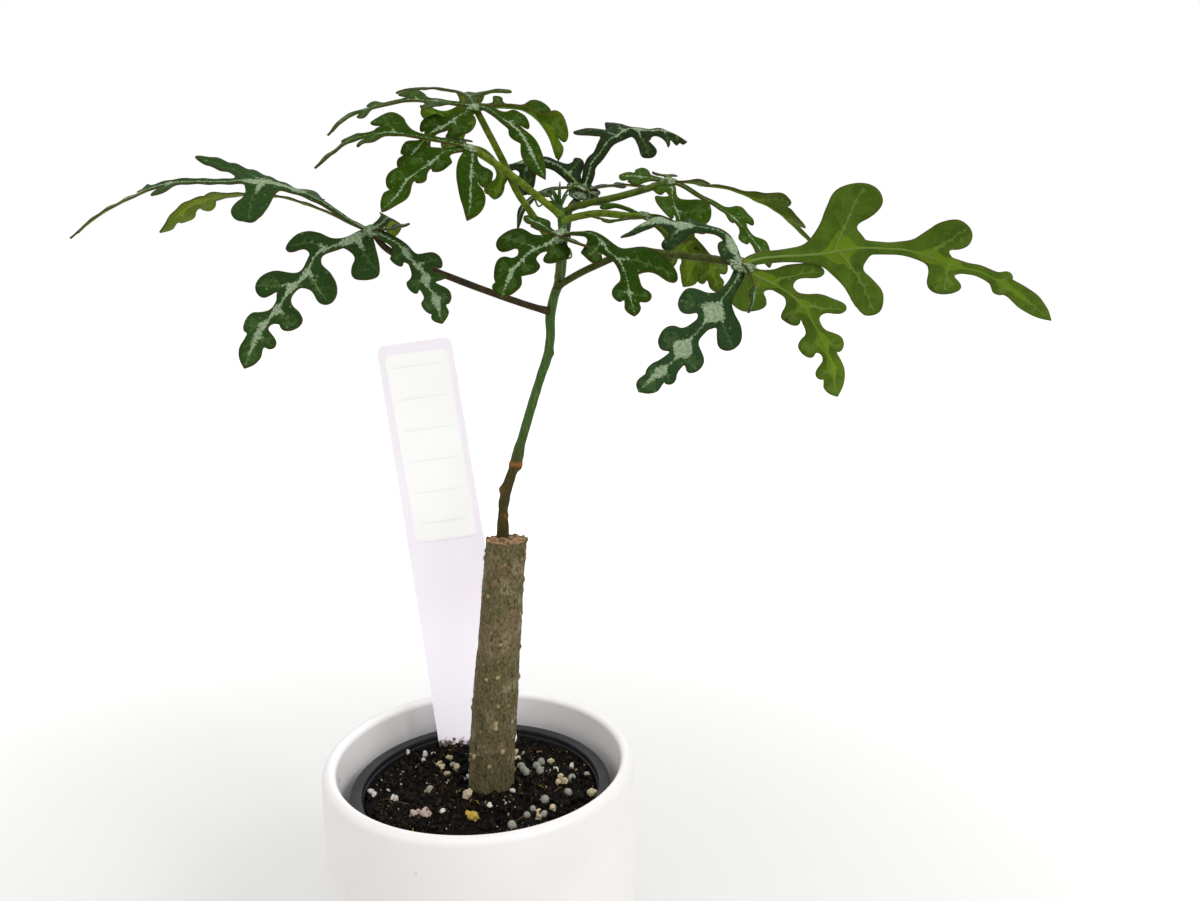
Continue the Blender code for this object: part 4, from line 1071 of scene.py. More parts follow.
@dataclass(frozen=True)
class LeafUnder:
    """Underside of a leaf: lighter, with painted light shining through along the veins, painted shade in soft
    patches, and the veins raised and pale.
    """

    vein: Colour = (0.13, 0.20, 0.035)
    margin: Colour = (0.090, 0.042, 0.016)
    # Painted light: factors that brighten the tone where light is painted shining through by the veins.
    lit: Colour = (1.7, 1.52, 0.9)
    # Painted shade: factors that darken the tone in soft patches.
    shaded: Colour = (0.66, 0.72, 0.75)

    def build(self, effects: Effects) -> Finish:
        """Makes the material.

        Args:
            effects: Node groups that the finishes share.

        Returns:
            The material.
        """
        mat = Material("leaf_under")
        mat.colour = own = mat.own_colour("tone")
        flat, veins = mat.flat(), mat.reading("vein")
        lines = mat.group(effects.net, flat, NET_SCALE)[0]
        # Painted shade in soft patches, and painted light along the veins where the underside's silver
        # reading says.
        glow = mat.math("MULTIPLY_ADD", mat.noise(flat, 45.0), 0.9, mat.reading("silver"))
        mat.coat(mat.step(mat.noise(flat, 12.0), 0.38, 0.68), mat.tinted(own, self.shaded))
        mat.coat(mat.step(glow, 0.42, 0.75, 0.0, 0.85), mat.tinted(own, self.lit))
        mat.coat(lines, self.vein, 0.10)
        mat.coat(mat.step(veins, 0.02, 0.36, 0.55, 0.0), self.vein)
        mat.coat(mat.step(mat.reading("edge"), 0.05, 0.40, 0.6, 0.0), self.margin)
        height = mat.math("MULTIPLY_ADD", lines, 0.5, mat.step(veins, 0.0, 0.7, 1.0, 0.0))
        return mat.finish(0.55, Normal=mat.bump(height, 0.00025, 0.5), Specular_IOR_Level=0.06)


@dataclass(frozen=True)
class LeafStalk:
    """Skin of the leaf stalks: the stalk's own colour, darker in patches, with pale pores."""

    shaded: Colour = (0.55, 0.60, 0.60)
    pore: Colour = (0.22, 0.24, 0.12)

    def build(self, effects: Effects) -> Finish:
        """Makes the material.

        Args:
            effects: Node groups that the finishes share.

        Returns:
            The material.
        """
        mat = Material("leaf_stalk")
        mat.colour = own = mat.own_colour("tone")
        place = mat.place()
        mottle = mat.noise(place, 420.0)
        mat.coat(mat.step(mottle, 0.38, 0.65), mat.tinted(own, self.shaded))
        mat.coat(mat.group(effects.flecks, place, 900.0, 0.2, 0.1)[0], self.pore, 0.3)
        return mat.finish(0.45, Normal=mat.bump(mottle, 0.0002, 0.4), Specular_IOR_Level=0.06)


@dataclass(frozen=True)
class LabelPlastic:
    """Lilac-white plant label, satin, with a brown line and specks of soil at its foot, glowing with painted
    light that is strongest low on its front, where shade falls.
    """

    plastic: Colour = (0.86, 0.815, 0.885)
    haze: Colour = (0.68, 0.62, 0.66)
    soil: Colour = (0.06, 0.035, 0.022)
    soil_line: Pair = (0.0985, 0.1015)
    # Strength of the painted light that the label gives off; glow_above is its share higher up and at the
    # back.
    glow: float = 0.48
    glow_above: float = 0.35
    middle: Pair = (0.0338, 0.0342)

    def build(self, effects: Effects) -> Finish:
        """Makes the material.

        Args:
            effects: Node groups that the finishes share.

        Returns:
            The material.
        """
        mat = Material("label_plastic", self.plastic)
        place = mat.place()
        _, deep, high = mat.axes(place)
        veil, gloss = mat.group(effects.dust, place, 60.0)
        mat.coat(veil, self.haze, 0.10)
        ragged = mat.math("MULTIPLY_ADD", mat.noise(place, 500.0), 0.012, -0.006)
        mat.coat(mat.step(mat.math("ADD", high, ragged), *self.soil_line, 0.95, 0.0), self.soil)
        specks = mat.group(effects.flecks, place, 260.0, 0.22, 0.05)[0]
        specks = mat.times(specks, mat.step(high, 0.100, 0.128, 1.0, 0.0))
        mat.coat(mat.times(specks, mat.step(mat.noise(place, 200.0, 1.0), 0.52, 0.58)), self.soil)
        # Painted light: the label glows in its own colour, fully on the front's lower part and at a smaller
        # share higher up and at the back.
        low = mat.step(high, 0.115, 0.195, 1.0, self.glow_above)
        front = mat.step(deep, *self.middle, 1.0, self.glow_above)
        lit = mat.mix(mat.math("MINIMUM", low, front), (0.0, 0.0, 0.0), mat.colour)
        relief = mat.bump(mat.noise(place, 700.0, 2.0), 0.0001, 0.2)
        return mat.finish(mat.step(gloss, 0.3, 0.7, 0.34, 0.46), Normal=relief, Emission_Color=lit,
                          Emission_Strength=self.glow)


@dataclass(frozen=True)
class StickerPaper:
    """Bare white sticker, smooth, with a few faint ruled lines across it, glowing faintly with painted light.
    """

    paper: Colour = (0.95, 0.95, 0.945)
    haze: Colour = (0.80, 0.79, 0.78)
    rule: Colour = (0.66, 0.68, 0.72)
    spacing: float = 0.0134
    line: float = 0.00035
    line_half: float = 0.0102
    # Strength of the painted light that the sticker gives off in its own colour.
    glow: float = 0.13

    def build(self, effects: Effects) -> Finish:
        """Makes the material.

        Args:
            effects: Node groups that the finishes share.

        Returns:
            The material.
        """
        mat = Material("sticker_paper", self.paper)
        place = mat.place()
        across, up, _ = mat.axes(mat.flat())
        within = mat.math("LESS_THAN", mat.math("ABSOLUTE", across), self.line_half)
        band = mat.step(mat.math("PINGPONG", up, self.spacing / 2), self.line / 2, self.line, 1.0, 0.0)
        veil, gloss = mat.group(effects.dust, place, 70.0)
        mat.coat(veil, self.haze, 0.05)
        mat.coat(mat.times(band, within), self.rule, 0.55)
        grain = mat.bump(mat.noise(place, 2200.0), 0.00005, 0.3)
        # Painted light: the sticker glows faintly in its paper colour.
        return mat.finish(mat.step(gloss, 0.3, 0.7, 0.30, 0.40), Normal=grain, Emission_Color=self.paper,
                          Emission_Strength=self.glow)


@dataclass(frozen=True)
class PaleFloor:
    """Plain pale floor: it shows soft shadows near the pot, is painted darker there as painted shade, and
    runs out to the room's white.
    """

    # Painted shade: near is the floor's darker colour close to the pot, far its colour further out.
    near: Colour = (0.70, 0.70, 0.69)
    far: Colour = (0.93, 0.93, 0.92)
    bounce: Colour = (0.80, 0.79, 0.77)
    white: Colour = (1.0, 1.0, 1.0)
    glow: float = 0.36
    fade: Pair = (0.12, 0.95)

    def build(self) -> Finish:
        """Makes the material."""
        mat = Material("pale_floor", self.near)
        size = mat.feed(mat.add("ShaderNodeVectorMath", operation="LENGTH"), mat.place())["Value"]
        # Painted shade: the floor is darker close to the pot and pales with distance from it.
        away = mat.step(size, *self.fade)
        mat.coat(away, self.far)
        seen = mat.add("ShaderNodeLightPath").outputs["Is Camera Ray"]
        mat.colour = mat.mix(seen, self.bounce, mat.colour)
        return mat.finish(0.8, Emission_Color=self.white,
                          Emission_Strength=mat.times(mat.times(seen, away), self.glow))


@dataclass
class Cachepot:
    """The straight white pot that everything stands in, with a thick rounded rim."""

    radius: float = 62.5
    height: float = 112.0
    wall: float = 5.5
    floor: float = 6.0
    foot_round: float = 5.0
    sides: int = 180

    def build(self, finish: Finish) -> None:
        """Models the pot from the middle of its foot, over the rim and down to its floor.

        Args:
            finish: Its material.
        """
        foot, lip = self.foot_round, self.wall / 2
        inner = self.radius - self.wall
        profile = arc((self.radius - foot, foot), foot, -90, 0, 8)
        profile += arc((self.radius - lip, self.height - lip), lip, 0, 180, 16)
        profile += arc((inner - foot, self.floor + foot), foot, 0, -90, 8)
        pot = turned("white_cachepot", profile, self.sides)
        pot.data.materials.append(finish)
        shade(pot)
        finish_piece(pot, "white_ceramic", "cachepot")


@dataclass
class NurseryPot:
    """The thin black grower's pot inside, with a turned-down lip and drain holes."""

    centre: Pair = (0.7, -4.2)
    rim: float = 52.0
    floor: float = 38.0
    base: float = 6.3
    height: float = 94.7
    wall: float = 1.3
    lip: float = 3.4
    lip_depth: float = 7.0
    foot: float = 2.0
    bead: float = 0.65
    drain_holes: int = 6
    drain_radius: float = 3.0
    drain_circle: float = 24.0
    sides: int = 144

    def wall_radius(self, height: float) -> float:
        """Gives the wall's outer radius at a height above the pot's underside."""
        return self.floor + (self.rim - self.lip - self.floor) * height / self.height

    def profile(self) -> list[Pair]:
        """Draws the outline from the underside up the outside, round the lip and down inside."""
        top = self.base + self.height
        skirt = top - self.lip_depth
        under = self.wall_radius(self.height - self.lip_depth)
        inner = self.wall_radius(self.height) - self.wall
        points = [(self.floor - self.foot, self.base), (self.wall_radius(self.foot), self.base + self.foot),
                  (under - 0.4, skirt - 3.0), (under + 0.3, skirt + 2.0), (self.rim - 2.1, top - 3.0),
                  (self.rim - 0.4 - self.wall, skirt), (self.rim - 0.4, skirt)]
        points += arc((self.rim - self.bead, top - self.bead), self.bead, 0, 90, 4)
        points += arc((inner + self.bead, top - self.bead), self.bead, 90, 180, 4)
        points += [(inner - 0.1, top - 2.2), (inner - 0.5, top - 2.6),
                   (self.wall_radius(self.foot) - self.wall, self.base + self.foot + self.wall),
                   (self.floor - self.wall - self.foot, self.base + self.wall)]
        return points

    def build(self, finish: Finish) -> None:
        """Models the pot and cuts its drain holes.

        Args:
            finish: Its material.
        """
        pot = turned("black_nursery_pot", self.profile(), self.sides, self.centre)
        deselect()
        for hole in range(self.drain_holes):
            angle = math.tau * hole / self.drain_holes
            x = self.centre[0] + self.drain_circle * math.cos(angle)
            y = self.centre[1] + self.drain_circle * math.sin(angle)
            bpy.ops.mesh.primitive_cylinder_add(vertices=28, radius=self.drain_radius * MM, depth=8 * MM,
                                                location=Vector((x, y, self.base)) * MM)
            drill = named("drain_drill")
            cut = pot.modifiers.new("drain", "BOOLEAN")
            cut.object = drill
            cut.solver = "EXACT"
            settle(pot)
            bpy.data.objects.remove(drill, do_unlink=True)
        pot.data.materials.append(finish)
        shade(pot)
        finish_piece(pot, "black_plastic", "nursery_pot")


@dataclass(frozen=True)
class LooseGrain:
    """One grain that can be told apart on the soil: its place, radius and colour."""

    x: float
    y: float
    radius: float
    colour: Grain


def grains(colour: Grain, radius: float, *places: Pair) -> list[LooseGrain]:
    """Lists grains of one kind."""
    return [LooseGrain(x, y, radius, colour) for x, y in places]


GRAINS = [
    *grains(Grain.GREY, 1.75, (14.9, 15.1), (17.5, 8.4), (23.3, 10.1), (23.2, 18.5), (-20.5, -4.3),
            (37.0, 3.6), (35.7, -7.3), (26.7, -12.5), (15.3, -30.0), (16.2, 11.9), (21.6, 14.2)),
    *grains(Grain.GREY, 1.35, (22.3, -17.6), (27.0, -23.2), (-14.5, 16.8), (43.0, 8.0), (20.4, -23.2)),
    *grains(Grain.CREAM, 1.35, (30.2, -18.3), (24.3, -20.2), (-16.9, 21.1), (-12.1, 12.6), (-15.5, 10.1),
            (11.3, 25.5), (27.4, 20.2), (32.3, 6.8), (31.7, 2.0), (-5.3, -8.1), (34.0, 1.2), (12.6, 21.5),
            (-18.6, 13.4), (-20.1, 15.9), (25.0, -25.0)),
    *grains(Grain.CREAM, 1.8, (45.4, -8.8), (-4.4, -9.6)),
    *grains(Grain.PINK, 1.5, (-20.0, -21.8), (-21.9, -20.6), (-18.3, -22.9), (-23.6, -22.4), (-19.4, -19.9)),
    *grains(Grain.YELLOW, 1.7, (-1.5, -23.9), (0.2, -24.8)),
    *grains(Grain.WHITE, 1.1, (-43.9, -6.6), (-42.6, -7.6), (-34.2, -10.3), (-32.9, -10.4), (-28.1, 25.5),
            (-35.6, 25.5), (-12.5, -20.4), (-24.5, 27.0), (-6.0, 5.0), (13.0, -5.0), (30.0, 12.0),
            (-28.0, 21.0), (36.5, 14.0), (5.0, -16.0)),
]


@dataclass
class Soil:
    """Potting soil: a rough top, crumbs and splinters on it, and the slow-release prills."""

    pot: NurseryPot
    stem: Pair
    top: float = 97.3
    bottom: float = 7.9
    wall_gap: float = 0.3
    step: float = 0.85
    mound: float = 1.3
    mound_spread: float = 13.0
    crumbs: int = 2600
    crumb_sizes: Pair = (0.35, 1.35)
    pale_share: float = 0.13
    crumb_lift: float = 0.25
    grain_lift: float = 0.55
    fibres: int = 26
    seed: int = 11

    @property
    def radius(self) -> float:
        """Radius of the soil's top, just clear of the pot's wall."""
        return self.pot.wall_radius(self.top - self.pot.base) - self.pot.wall - self.wall_gap

    def heights(self, flat: Array) -> Array:
        """Gives the height of the soil's top at places on it.

        Args:
            flat: Places as x and y, one in each row.

        Returns:
            The height at each.
        """
        level = np.column_stack([flat, np.zeros(len(flat))])
        lumps = 1.5 * noise_at(level, 11.0) + 1.3 * noise_at(level + 50, 3.6)
        mound = self.mound * bell(away_from(self.stem, flat) / self.mound_spread)
        return self.top + (lumps + 0.8 * noise_at(level + 90, 1.5) + mound - 0.3)

    def build(self, finish: Finish) -> None:
        """Models the soil in its pot, around the foot of the stem.

        Args:
            finish: Its material.
        """
        rng = random.Random(self.seed)
        batch = Batch()
        self.add_body(batch)
        self.add_crumbs(batch, rng)
        self.add_grains(batch, rng)
        self.add_fibres(batch, rng)
        finish_piece(batch.make("loose_soil", [finish]), "black_soil", "soil")

    def add_body(self, batch: Batch) -> None:
        """Adds the body of the soil, with its rough top and plain sides.

        Args:
            batch: What it is added to.
        """
        count = round(math.tau * self.radius / self.step)
        angles = np.arange(count) * math.tau / count
        ring = np.column_stack([np.cos(angles), np.sin(angles)])
        flat, faces, _ = fill_outline(ring * self.radius + self.pot.centre, [], self.step)
        lower = self.pot.floor - self.pot.wall - self.pot.foot - 1.0
        sides = np.column_stack([ring * lower + self.pot.centre, np.full(count, self.bottom)])
        foot = np.array([[*self.pot.centre, self.bottom]])
        places = np.vstack([np.column_stack([flat, self.heights(flat)]), sides, foot])
        first, middle = len(flat), len(flat) + count
        for turn in range(count):
            after = (turn + 1) % count
            faces.append([turn, first + turn, first + after, after])
            faces.append([middle, first + after, first + turn])
        batch.add(places, faces, grain=(0.0, 0.0, 0.0), grain_mix=0.0)

    @staticmethod
    def pebble(level: int, offset: float) -> tuple[Array, Faces]:
        """Models one uneven ball of 1 mm radius, to be copied.

        Args:
            level: How often it is divided.
            offset: How far its vertices are moved about, in millimetres.

        Returns:
            Its vertices and faces.
        """
        deselect()
        bpy.ops.mesh.primitive_ico_sphere_add(subdivisions=level, radius=MM)
        model = named("pebble_model")
        bpy.ops.object.mode_set(mode="EDIT")
        bpy.ops.mesh.select_all(action="SELECT")
        bpy.ops.transform.vertex_random(offset=offset * MM, seed=level)
        bpy.ops.object.mode_set(mode="OBJECT")
        shape = places_of(model.data), [list(face.vertices) for face in model.data.polygons]
        bpy.data.objects.remove(model, do_unlink=True)
        return shape

    def any_spot(self, rng: random.Random, margin: float) -> Pair:
        """Draws a place on the soil, some way clear of the pot's wall."""
        away, angle = (self.radius - margin) * math.sqrt(rng.random()), rng.uniform(0, math.tau)
        return self.pot.centre[0] + away * math.cos(angle), self.pot.centre[1] + away * math.sin(angle)

    @staticmethod
    def any_turn(rng: random.Random) -> Matrix:
        """Draws a turn about all three axes."""
        return Euler([rng.uniform(0, 6) for _ in range(3)]).to_matrix()

    def add_crumbs(self, batch: Batch, rng: random.Random) -> None:
        """Scatters crumbs and chips all over.

        Args:
            batch: What they are added to.
            rng: Source of the random numbers.
        """
        model, faces = self.pebble(1, 0.34)
        low, high = self.crumb_sizes
        spots = [self.any_spot(rng, 0.8) for _ in range(self.crumbs)]
        pale = [Grain.WHITE.value, Grain.CREAM.value, Grain.TAN.value, Grain.TAN.value]
        for (x, y), height in zip(spots, self.heights(np.array(spots))):
            size = low + (high - low) * rng.random() ** 2.2
            turn = self.any_turn(rng)
            scale = Matrix.Diagonal((size * rng.uniform(1.0, 2.0), size, size * rng.uniform(0.6, 1.0)))
            is_pale = rng.random() < self.pale_share
            shape = model @ np.array(turn @ scale).T * (0.52 if is_pale else 1.0)
            colour = rng.choice(pale) if is_pale else Grain.TAN.value
            share = rng.uniform(0.6, 0.95) if is_pale else rng.uniform(0.0, 0.22) ** 1.5
            batch.add(shape + (x, y, height + self.crumb_lift * size), faces, grain=colour, grain_mix=share)

    def add_grains(self, batch: Batch, rng: random.Random) -> None:
        """Sets the larger grains in their places.

        Args:
            batch: What they are added to.
            rng: Source of the random numbers.
        """
        model, faces = self.pebble(3, 0.05)
        level = self.heights(np.array([(item.x, item.y) for item in GRAINS]))
        for item, height in zip(GRAINS, level):
            round_one = item.colour is Grain.GREY
            stretch = 1.08 if round_one else 1.25
            scale = Matrix.Diagonal((item.radius * stretch, item.radius, item.radius * 0.92))
            shape = model @ np.array(self.any_turn(rng) @ scale).T
            if not round_one:
                shape = shape * (1 + 0.55 * noise_at(shape + 10 * item.x, 1.3))[:, None]
            shape = shape + (item.x, item.y, height + self.grain_lift * item.radius)
            batch.add(shape, faces, grain=item.colour.value, grain_mix=rng.uniform(0.88, 1.0))

    def add_fibres(self, batch: Batch, rng: random.Random) -> None:
        """Lays fine root fibres and splinters on the soil.

        Args:
            batch: What they are added to.
            rng: Source of the random numbers.
        """
        for index in range(self.fibres):
            flat = [np.array(self.any_spot(rng, 6))]
            heading = rng.uniform(0, math.tau)
            for _ in range(4):
                heading += rng.uniform(-0.7, 0.7)
                step = rng.uniform(0.7, 1.7)
                flat.append(flat[-1] + (step * math.cos(heading), step * math.sin(heading)))
            heights = self.heights(np.array(flat)) + 0.55
            path = catmull([(*spot, height) for spot, height in zip(flat, heights)], 3)
            places, faces = tube(path, np.linspace(0.22, 0.10, len(path)), 5)
            colour = Grain.YELLOW.value if index % 5 == 0 else Grain.TAN.value
            batch.add(places, faces, grain=colour, grain_mix=0.8)


@dataclass
class Trunk:
    """The cut trunk: ridged bark with warts, and a rough corky face where it was cut."""

    axis: tuple[Point, ...] = ((3.2, 1.5, 52), (3.4, 1.5, 85), (3.8, 1.5, 100), (5.5, 1.5, 128),
                               (8.2, 1.5, 160), (11.7, 1.5, 201))
    radii: tuple[float, ...] = (8.6, 9.3, 9.4, 9.0, 8.4, 8.0)
    sides: int = 96
    rise: float = 0.85
    cut_rings: tuple[float, ...] = (0.97, 0.90, 0.80, 0.68, 0.55, 0.42, 0.30, 0.18, 0.07)
    bark_lift: float = 0.42
    wart_lift: float = 0.80
    cut_lift: float = 0.45
    lip_width: float = 1.6
    warts: int = 92
    seed: int = 5

    @property
    def foot(self) -> Pair:
        """Where the trunk stands in the soil."""
        return self.axis[2][:2]

    def rings(self) -> list[tuple[float, Point]]:
        """Lists the trunk's rings, up the bark and then in over the cut face."""
        heights = [point[2] for point in self.axis]
        path = catmull(self.axis, 12)
        rings = []
        for height in np.arange(heights[0], heights[-1], self.rise):
            x = float(np.interp(height, path[:, 2], path[:, 0]))
            radius = float(np.interp(height, heights, self.radii))
            rings.append((radius, (x, self.axis[0][1], float(height))))
        x, y, top = self.axis[-1]
        rings.append((self.radii[-1], (x, y, top)))
        for share in self.cut_rings:
            rings.append((self.radii[-1] * share, (x, y, top + 0.15 * (1 - share))))
        return rings

    def build(self, finish: Finish) -> None:
        """Models the trunk and carves its bark and its cut face.

        Args:
            finish: Its material.
        """
        rng = random.Random(self.seed)
        trunk = raise_rings("barked_trunk", self.rings(), self.sides)
        mesh = trunk.data
        places, outward = places_of(mesh), normals_of(mesh)
        top = self.axis[-1][2]
        on_face = away_from(self.axis[-1][:2], places[:, :2]) < self.radii[-1] * 0.985
        cut = ((places[:, 2] > top - 0.05) & on_face).astype(float)
        bark = 1.4 * noise_at(places, (3.4, 3.4, 30.0)) + 0.8 * noise_at(places + 40, (1.4, 1.4, 5.0))
        bark += 0.55 * noise_at(places + 80, (0.9, 0.9, 1.1))
        crumble = 1.5 * noise_at(places, 1.9) + 0.7 * noise_at(places + 20, 0.8)
        wart = np.zeros(len(places))
        for _ in range(self.warts):
            height = rng.uniform(top - 102, top - 3)
            spot = self.side_place(height, rng.uniform(0, math.tau))
            size = rng.uniform(0.40, 1.0)
            away = np.linalg.norm((places - spot) / (1, 1, 1.2), axis=1)
            wart = np.maximum(wart, size / 0.8 * bell(away / size))
        lip = bell((places[:, 2] - top) / self.lip_width) * (1 - cut)
        side_lift = self.bark_lift * bark + self.wart_lift * wart + lip * (0.15 + 0.5 * crumble)
        lift = np.where(cut > 0.5, self.cut_lift * crumble, side_lift)
        move_vertices(mesh, places + outward * lift[:, None])
        write_number(mesh, "cut", cut)
        write_number(mesh, "wart", wart * (1 - cut))
        mesh.materials.append(finish)
        mesh.shade_smooth()
        finish_piece(trunk, "grey_bark", "trunk")

    def side_place(self, height: float, angle: float) -> Array:
        """Gives the place on the bark at a height and an angle.

        Args:
            height: Height in millimetres.
            angle: Angle about the trunk in radians.

        Returns:
            The place.
        """
        heights = [point[2] for point in self.axis]
        x = np.interp(height, heights, [point[0] for point in self.axis])
        radius = np.interp(height, heights, self.radii)
        return np.array([x + radius * math.cos(angle), self.axis[0][1] + radius * math.sin(angle), height])


@dataclass
class Shoot:
    """The stem that grows from the cut face, with its nodes, young leaves and tendrils."""

    axis: tuple[Point, ...] = (
        (10.0, 5.4, 197.4), (10.0, 5.3, 205), (10.3, 5.0, 213), (11.6, 4.6, 220), (14.4, 4.2, 228),
        (16.4, 4.0, 234), (17.2, 3.8, 237), (18.4, 3.5, 241), (21.4, 3.0, 251), (25.2, 2.6, 263),
        (28.3, 2.2, 272), (29.7, 2.0, 280), (29.8, 2.0, 288), (31.2, 2.0, 295), (33.2, 2.0, 301),
        (34.4, 2.0, 308), (34.6, 2.0, 317), (34.2, 2.4, 325), (33.4, 2.8, 330))
    radii: tuple[float, ...] = (2.4, 2.3, 2.0, 2.0, 2.0, 2.4, 2.2, 1.8, 1.8, 1.7, 1.8, 1.7, 1.9, 1.7, 1.8,
                                1.8, 1.6, 1.5, 0.9)
    scars: tuple[tuple[Point, float], ...] = (((9.9, 4.4, 220.5), 1.3), ((17.0, 3.4, 229.5), 1.3),
                                              ((11.7, 3.8, 210), 0.9), ((30.4, 1.5, 274), 1.0))
    ring_height: float = 231.0
    tip_leaves: tuple[tuple[Point, Point, float], ...] = (
        ((33.2, 2.8, 329), (30, 0, 335), 1.1), ((33.4, 2.6, 329), (34, -2, 337), 1.2),
        ((33.6, 3.0, 328), (37, 4, 333), 0.9), ((33.0, 3.2, 328), (28, 6, 330), 0.9))
    tendrils: tuple[tuple[Point, ...], ...] = (
        ((33.5, 2.4, 328), (36, 0, 333), (40, -2, 336), (44, -3, 334), (45, -3, 331)),
        ((33.4, 2.2, 327), (30, 0, 332), (27, -2, 333), (25, -3, 331), (26, -3, 328), (28, -3, 329)),
        ((34.8, 2.0, 311), (37, -1, 313), (38, -3, 310), (36, -3, 309)))
    tendril_radius: float = 0.42
    scar_lift: float = 0.75
    ring_lift: float = 0.30
    sides: int = 22
    per_span: int = 10

    def build(self, finish: Finish) -> None:
        """Models the stem with all that grows at its tip.

        Args:
            finish: Its material.
        """
        batch = Batch()
        path = catmull(self.axis, self.per_span)
        marks = np.arange(len(path)) / self.per_span
        radii = np.interp(marks, np.arange(len(self.radii)), self.radii)
        places, faces = tube(path, radii, self.sides)
        outward = unit(places - tube_centres(path, self.sides))
        swelling = np.zeros(len(places))
        for spot, size in self.scars:
            swelling += self.scar_lift * size * bell(away_from(spot, places) / (1.25 * size))
        ring = bell((places[:, 2] - self.ring_height) / 0.9)
        older = smoothstep(-places[:, 2], -245.0, -205.0)
        rough = (0.25 + 0.75 * older) * 0.7 * noise_at(places, (1.5, 1.5, 6.0))
        places = places + outward * (swelling + rough + self.ring_lift * ring)[:, None]
        batch.add(places, faces, ring=np.maximum(0.8 * ring, np.clip(swelling, 0, 0.35) * older))
        for start, end, size in self.tip_leaves:
            self.add_tip_leaf(batch, np.array(start, float), np.array(end, float), size)
        for tendril in self.tendrils:
            curl = catmull(tendril, 8)
            batch.add(*tube(curl, np.linspace(1.2, 0.7, len(curl)) * self.tendril_radius, 8), ring=0.0)
        finish_piece(batch.make("green_shoot", [finish]), "green_stem", "shoot")

    @staticmethod
    def add_tip_leaf(batch: Batch, start: Array, end: Array, size: float) -> None:
        """Adds one young leaf, still folded, as a flattened spindle that bows outwards.

        Args:
            batch: What it is added to.
            start: Where it grows on the stem.
            end: Its tip.
            size: Its half width.
        """
        share = np.linspace(0.0, 1.0, 9)
        path = start + (end - start) * share[:, None]
        path[:, 2] += 1.1 * np.sin(math.pi * share)
        radii = size * (0.35 + 0.75 * np.sin(math.pi * share ** 0.7)) * (1 - 0.55 * share)
        places, faces = tube(path, radii, 10)
        flat = unit(np.cross(end - start, (0.0, 0.0, 1.0)))
        offset = (places - tube_centres(path, 10)) @ flat
        batch.add(places - 0.35 * offset[:, None] * flat, faces, ring=0.0)


def select_where(obj: Piece, test: Callable[[Vector], bool]) -> None:
    """Selects the vertices of the mesh in edit mode that pass a test, and nothing else.

    Args:
        obj: The object in edit mode.
        test: Tells whether the vertex at a place is to be selected.
    """
    bpy.ops.mesh.select_all(action="DESELECT")
    shape = bmesh.from_edit_mesh(obj.data)
    for vert in shape.verts:
        vert.select = test(vert.co)
    shape.select_flush(True)
    bmesh.update_edit_mesh(obj.data)


